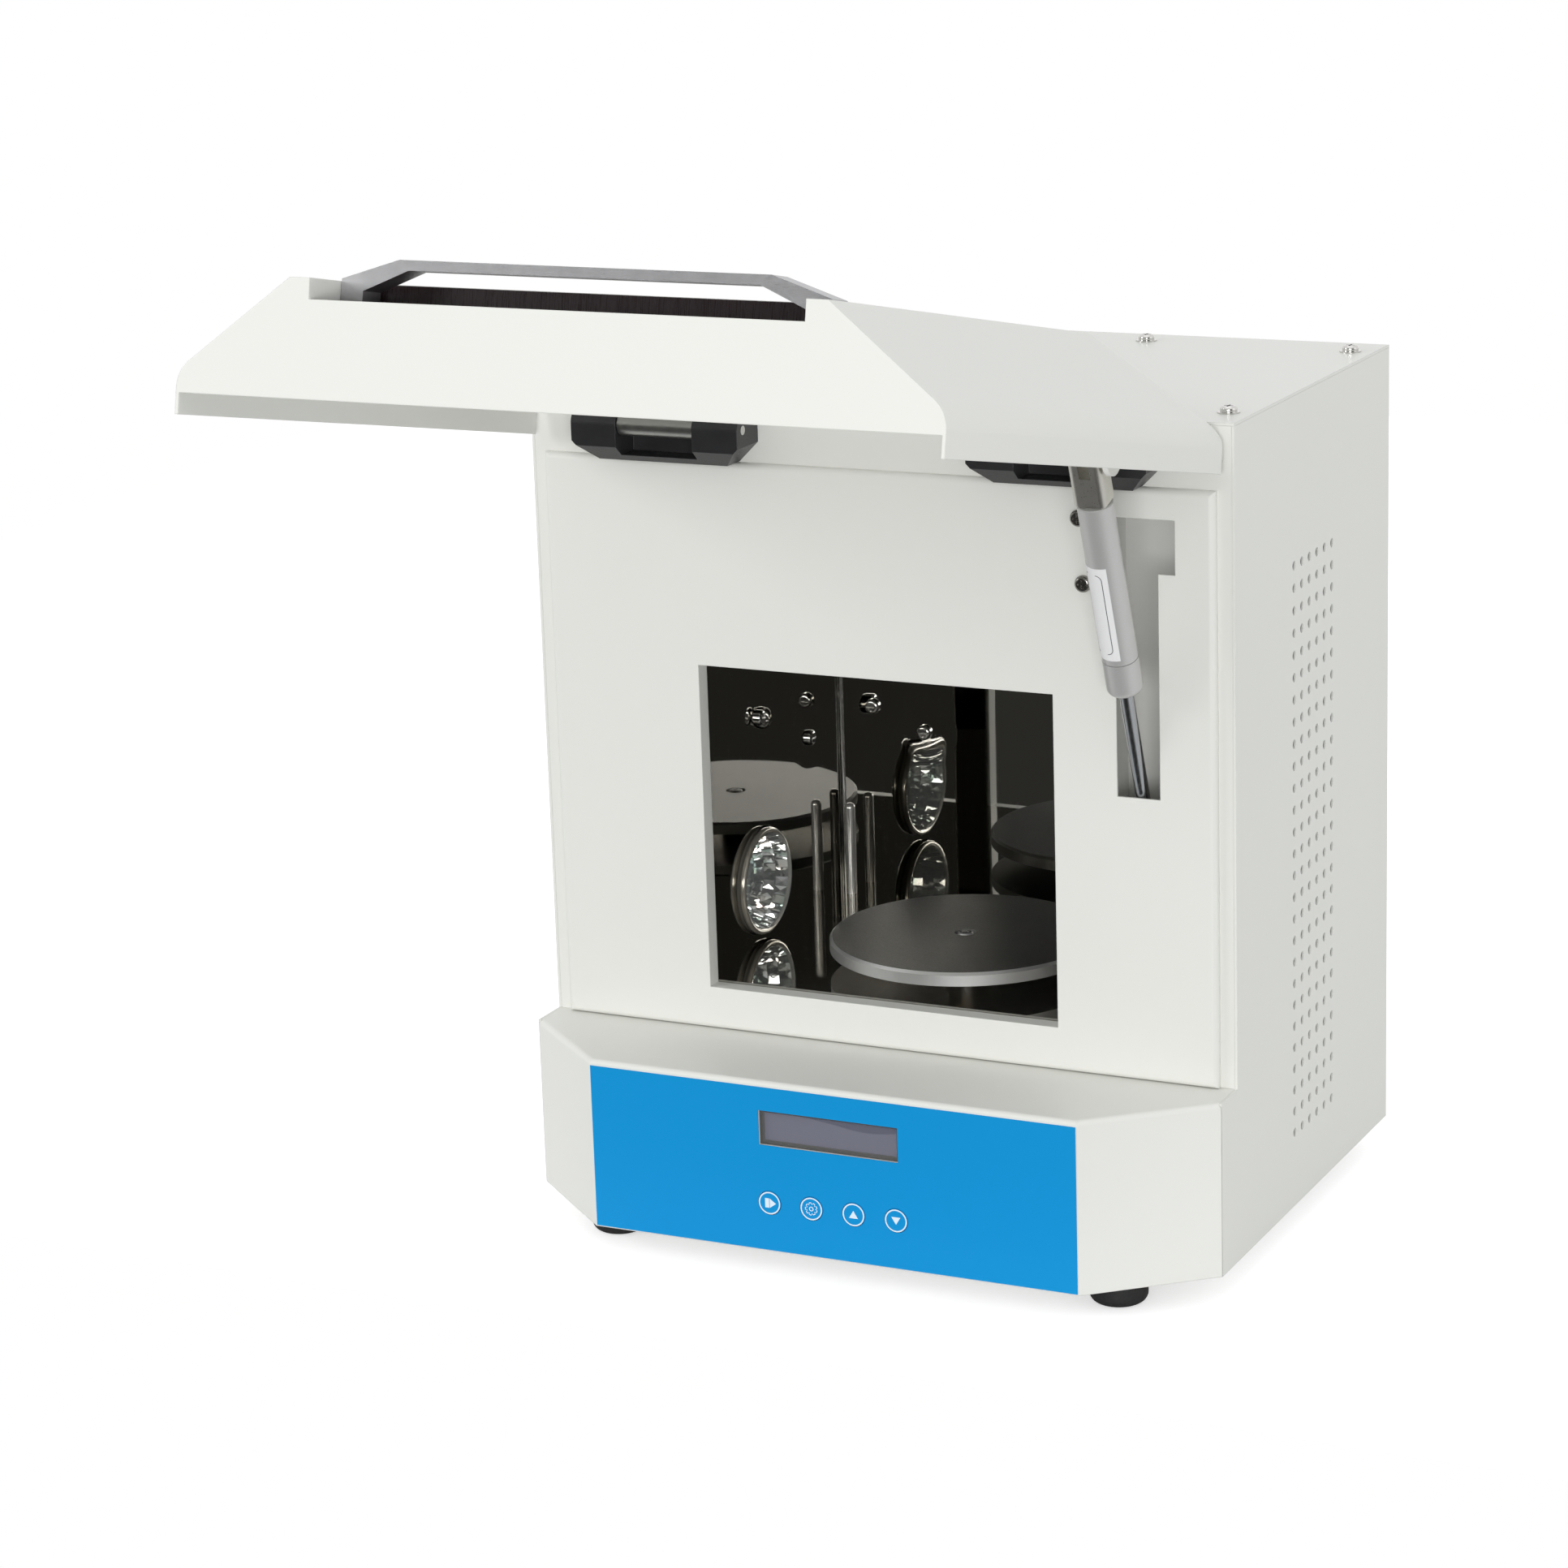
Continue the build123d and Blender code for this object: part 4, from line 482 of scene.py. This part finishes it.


# ---- the chamber's folded corner, a narrow cove whose lighter steel colour is a painted highlight ----
COVE = 2.2
back_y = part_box("chamber_back_wall")[0][1]
floor_z, roof_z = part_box("chamber_floor")[1][2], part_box("chamber_ceiling")[0][2]
steps = 12
for side, name in ((-1, "left"), (1, "right")):
    wall = inner_left + sheet if side < 0 else inner_right - sheet
    middle = (wall - side * COVE * MM, back_y - COVE * MM)
    arc = [
        (middle[0] + side * COVE * MM * sin(pi / 2 * i / steps), middle[1] + COVE * MM * cos(pi / 2 * i / steps))
        for i in range(steps + 1)
    ]
    vertices = [(x, y, z) for z in (floor_z, roof_z) for x, y in arc]
    faces = [(i, i + 1, steps + 2 + i, steps + 1 + i) for i in range(steps)]
    mesh_piece(name + "_corner_cove", vertices, faces, "cove", smooth=True)


# ---- the paper label's printed border, wrapped round the cylinder ----
STRUT_X, STRUT_Y, STRUT_Z = 121.05, 16.6, 169.6
LEAN = radians(20.0001332)
LABEL_START, LABEL_RADIUS, LABEL_TURN = 119.03, 7.7, radians(-120)
panel_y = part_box("front_panel")[0][1] + 4.2 * MM


def on_label(u, v, lift):
    """A point of the label, u round it and v along it, in millimetres."""
    radius = LABEL_RADIUS + lift
    turn = LABEL_TURN + u / LABEL_RADIUS
    x, y, z = radius * cos(turn), radius * sin(turn), LABEL_START + v
    return (
        (STRUT_X + x) * MM,
        panel_y + (STRUT_Y + y * cos(LEAN) - z * sin(LEAN)) * MM,
        (STRUT_Z + y * sin(LEAN) + z * cos(LEAN)) * MM,
    )


def rounded_loop(half_width, low_end, high_end, radius, count=14):
    """A rounded rectangle, anticlockwise, with points only on its rounded corners."""
    loop = []
    for cx, cy, start in ((half_width - radius, high_end - radius, 0), (-half_width + radius, high_end - radius, 1),
                          (-half_width + radius, low_end + radius, 2), (half_width - radius, low_end + radius, 3)):
        loop += [
            (cx + radius * cos(pi / 2 * (start + i / count)), cy + radius * sin(pi / 2 * (start + i / count)))
            for i in range(count + 1)
        ]
    return loop


border = (rounded_loop(5.0, 3.0, 41.0, 2.6), rounded_loop(4.7, 3.3, 40.7, 2.3))
solid_outline("label_border", border, on_label, 0.03, "ink", "strut_body")


# ---- camera ----
SCALE = 325.0 / 310.0
low_foot = 12.6 * MM
shift_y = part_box("front_panel")[0][1] + 4.2 * MM
FOCAL_PX, SIDE_PX, SENSOR = 5402.0, 1932.0, 36.0
azimuth, elevation, roll = -0.45907, -0.26284, -0.03295
eye = Vector((733.30 * SCALE * MM, -1571.35 * SCALE * MM + shift_y, 654.54 * SCALE * MM + low_foot))
forward = Vector((cos(elevation) * sin(azimuth), cos(elevation) * cos(azimuth), sin(elevation)))
right = forward.cross(Vector((0, 0, 1))).normalized()
up = right.cross(forward)
side = cos(roll) * right + sin(roll) * up
head = -sin(roll) * right + cos(roll) * up
camera = bpy.data.objects.new("camera", bpy.data.cameras.new("camera"))
bpy.context.scene.collection.objects.link(camera)
camera.data.sensor_width = SENSOR
camera.data.lens = FOCAL_PX / SIDE_PX * SENSOR
camera.matrix_world = Matrix((
    (side.x, head.x, -forward.x, eye.x),
    (side.y, head.y, -forward.y, eye.y),
    (side.z, head.z, -forward.z, eye.z),
    (0, 0, 0, 1),
))
camera.data.dof.use_dof = False
bpy.context.scene.camera = camera


# ---- light, floor and backdrop ----
def area(name, where, target, power, width, height):
    lamp = bpy.data.lights.new(name, "AREA")
    lamp.shape = "RECTANGLE"
    lamp.size, lamp.size_y = width, height
    lamp.energy = power
    piece = bpy.data.objects.new(name, lamp)
    piece.location = where
    piece.rotation_euler = (Vector(target) - Vector(where)).to_track_quat("-Z", "Y").to_euler()
    bpy.context.scene.collection.objects.link(piece)


area("key_left", (-2.0, -1.6, 1.2), (0, 0, 0.2), 16, 1.0, 1.0)
area("fill_front", (0.95, -2.5, 0.5), (0, 0, 0.2), 32, 1.4, 0.6)
area("side_right", (2.2, 0.1, 1.0), (0, 0, 0.2), 2.2, 1.2, 1.2)
area("top", (0, 0.2, 2.4), (0, 0, 0.2), 4, 1.6, 1.6)

world = bpy.data.worlds.new("studio")
bpy.context.scene.world = world
world.use_nodes = True
graph = Graph(world.node_tree)
way = graph.add("SeparateXYZ", Vector=graph.add("TexCoord").outputs["Generated"])
rise = graph.span(way.outputs[2], 0.30, 0.65, 0.0, 1.0)
behind = graph.span(way.outputs[1], -0.55, 0.1, 0.0, 1.0)
room = graph.add("Math", settings={"operation": "MAXIMUM"}, _0=rise, _1=behind).outputs[0]
path = graph.add("LightPath").outputs
gloss = graph.add("Math", settings={"operation": "MAXIMUM"}, _0=path["Is Glossy Ray"],
                  _1=path["Is Transmission Ray"]).outputs[0]
front = graph.blend(gloss, (0.42, 0.42, 0.415, 1), (0.045, 0.045, 0.042, 1))
ambient = graph.blend(room, front, (0.70, 0.71, 0.71, 1))
toward = graph.add("Math", settings={"operation": "MULTIPLY"}, _0=gloss, _1=room).outputs[0]
white = graph.add("Math", settings={"operation": "MAXIMUM"}, _0=path["Is Camera Ray"], _1=toward).outputs[0]
color = graph.blend(white, ambient, (1, 1, 1, 1))
back = graph.add("Background", Color=color, Strength=1.0)
graph.add("OutputWorld", Surface=back.outputs[0])

floor_material = bpy.data.materials.new("white_floor")
floor_material.use_nodes = True
graph = Graph(floor_material.node_tree)
matt = graph.add("BsdfDiffuse", Color=(0.85, 0.85, 0.85, 1))
seen = graph.add("LightPath").outputs["Is Camera Ray"]
glow = graph.add("Emission", Color=(1, 1, 1, 1), Strength=graph.span(seen, 0.0, 1.0, 0.0, 0.55))
both = graph.add("AddShader", _0=matt.outputs[0], _1=glow.outputs[0])
graph.add("OutputMaterial", Surface=both.outputs[0])
floor_mesh = bpy.data.meshes.new("floor")
FLOOR_SIDE, FLOOR_FRONT, FLOOR_BACK = 1.3, -0.10, 2.0
floor_mesh.from_pydata([(-FLOOR_SIDE, FLOOR_FRONT, 0), (FLOOR_SIDE, FLOOR_FRONT, 0), (FLOOR_SIDE, FLOOR_BACK, 0),
                        (-FLOOR_SIDE, FLOOR_BACK, 0)], [], [(0, 1, 2, 3)])
floor_mesh.materials.append(floor_material)
floor = bpy.data.objects.new("floor", floor_mesh)
bpy.context.scene.collection.objects.link(floor)

bpy.context.scene.view_settings.view_transform = "Standard"
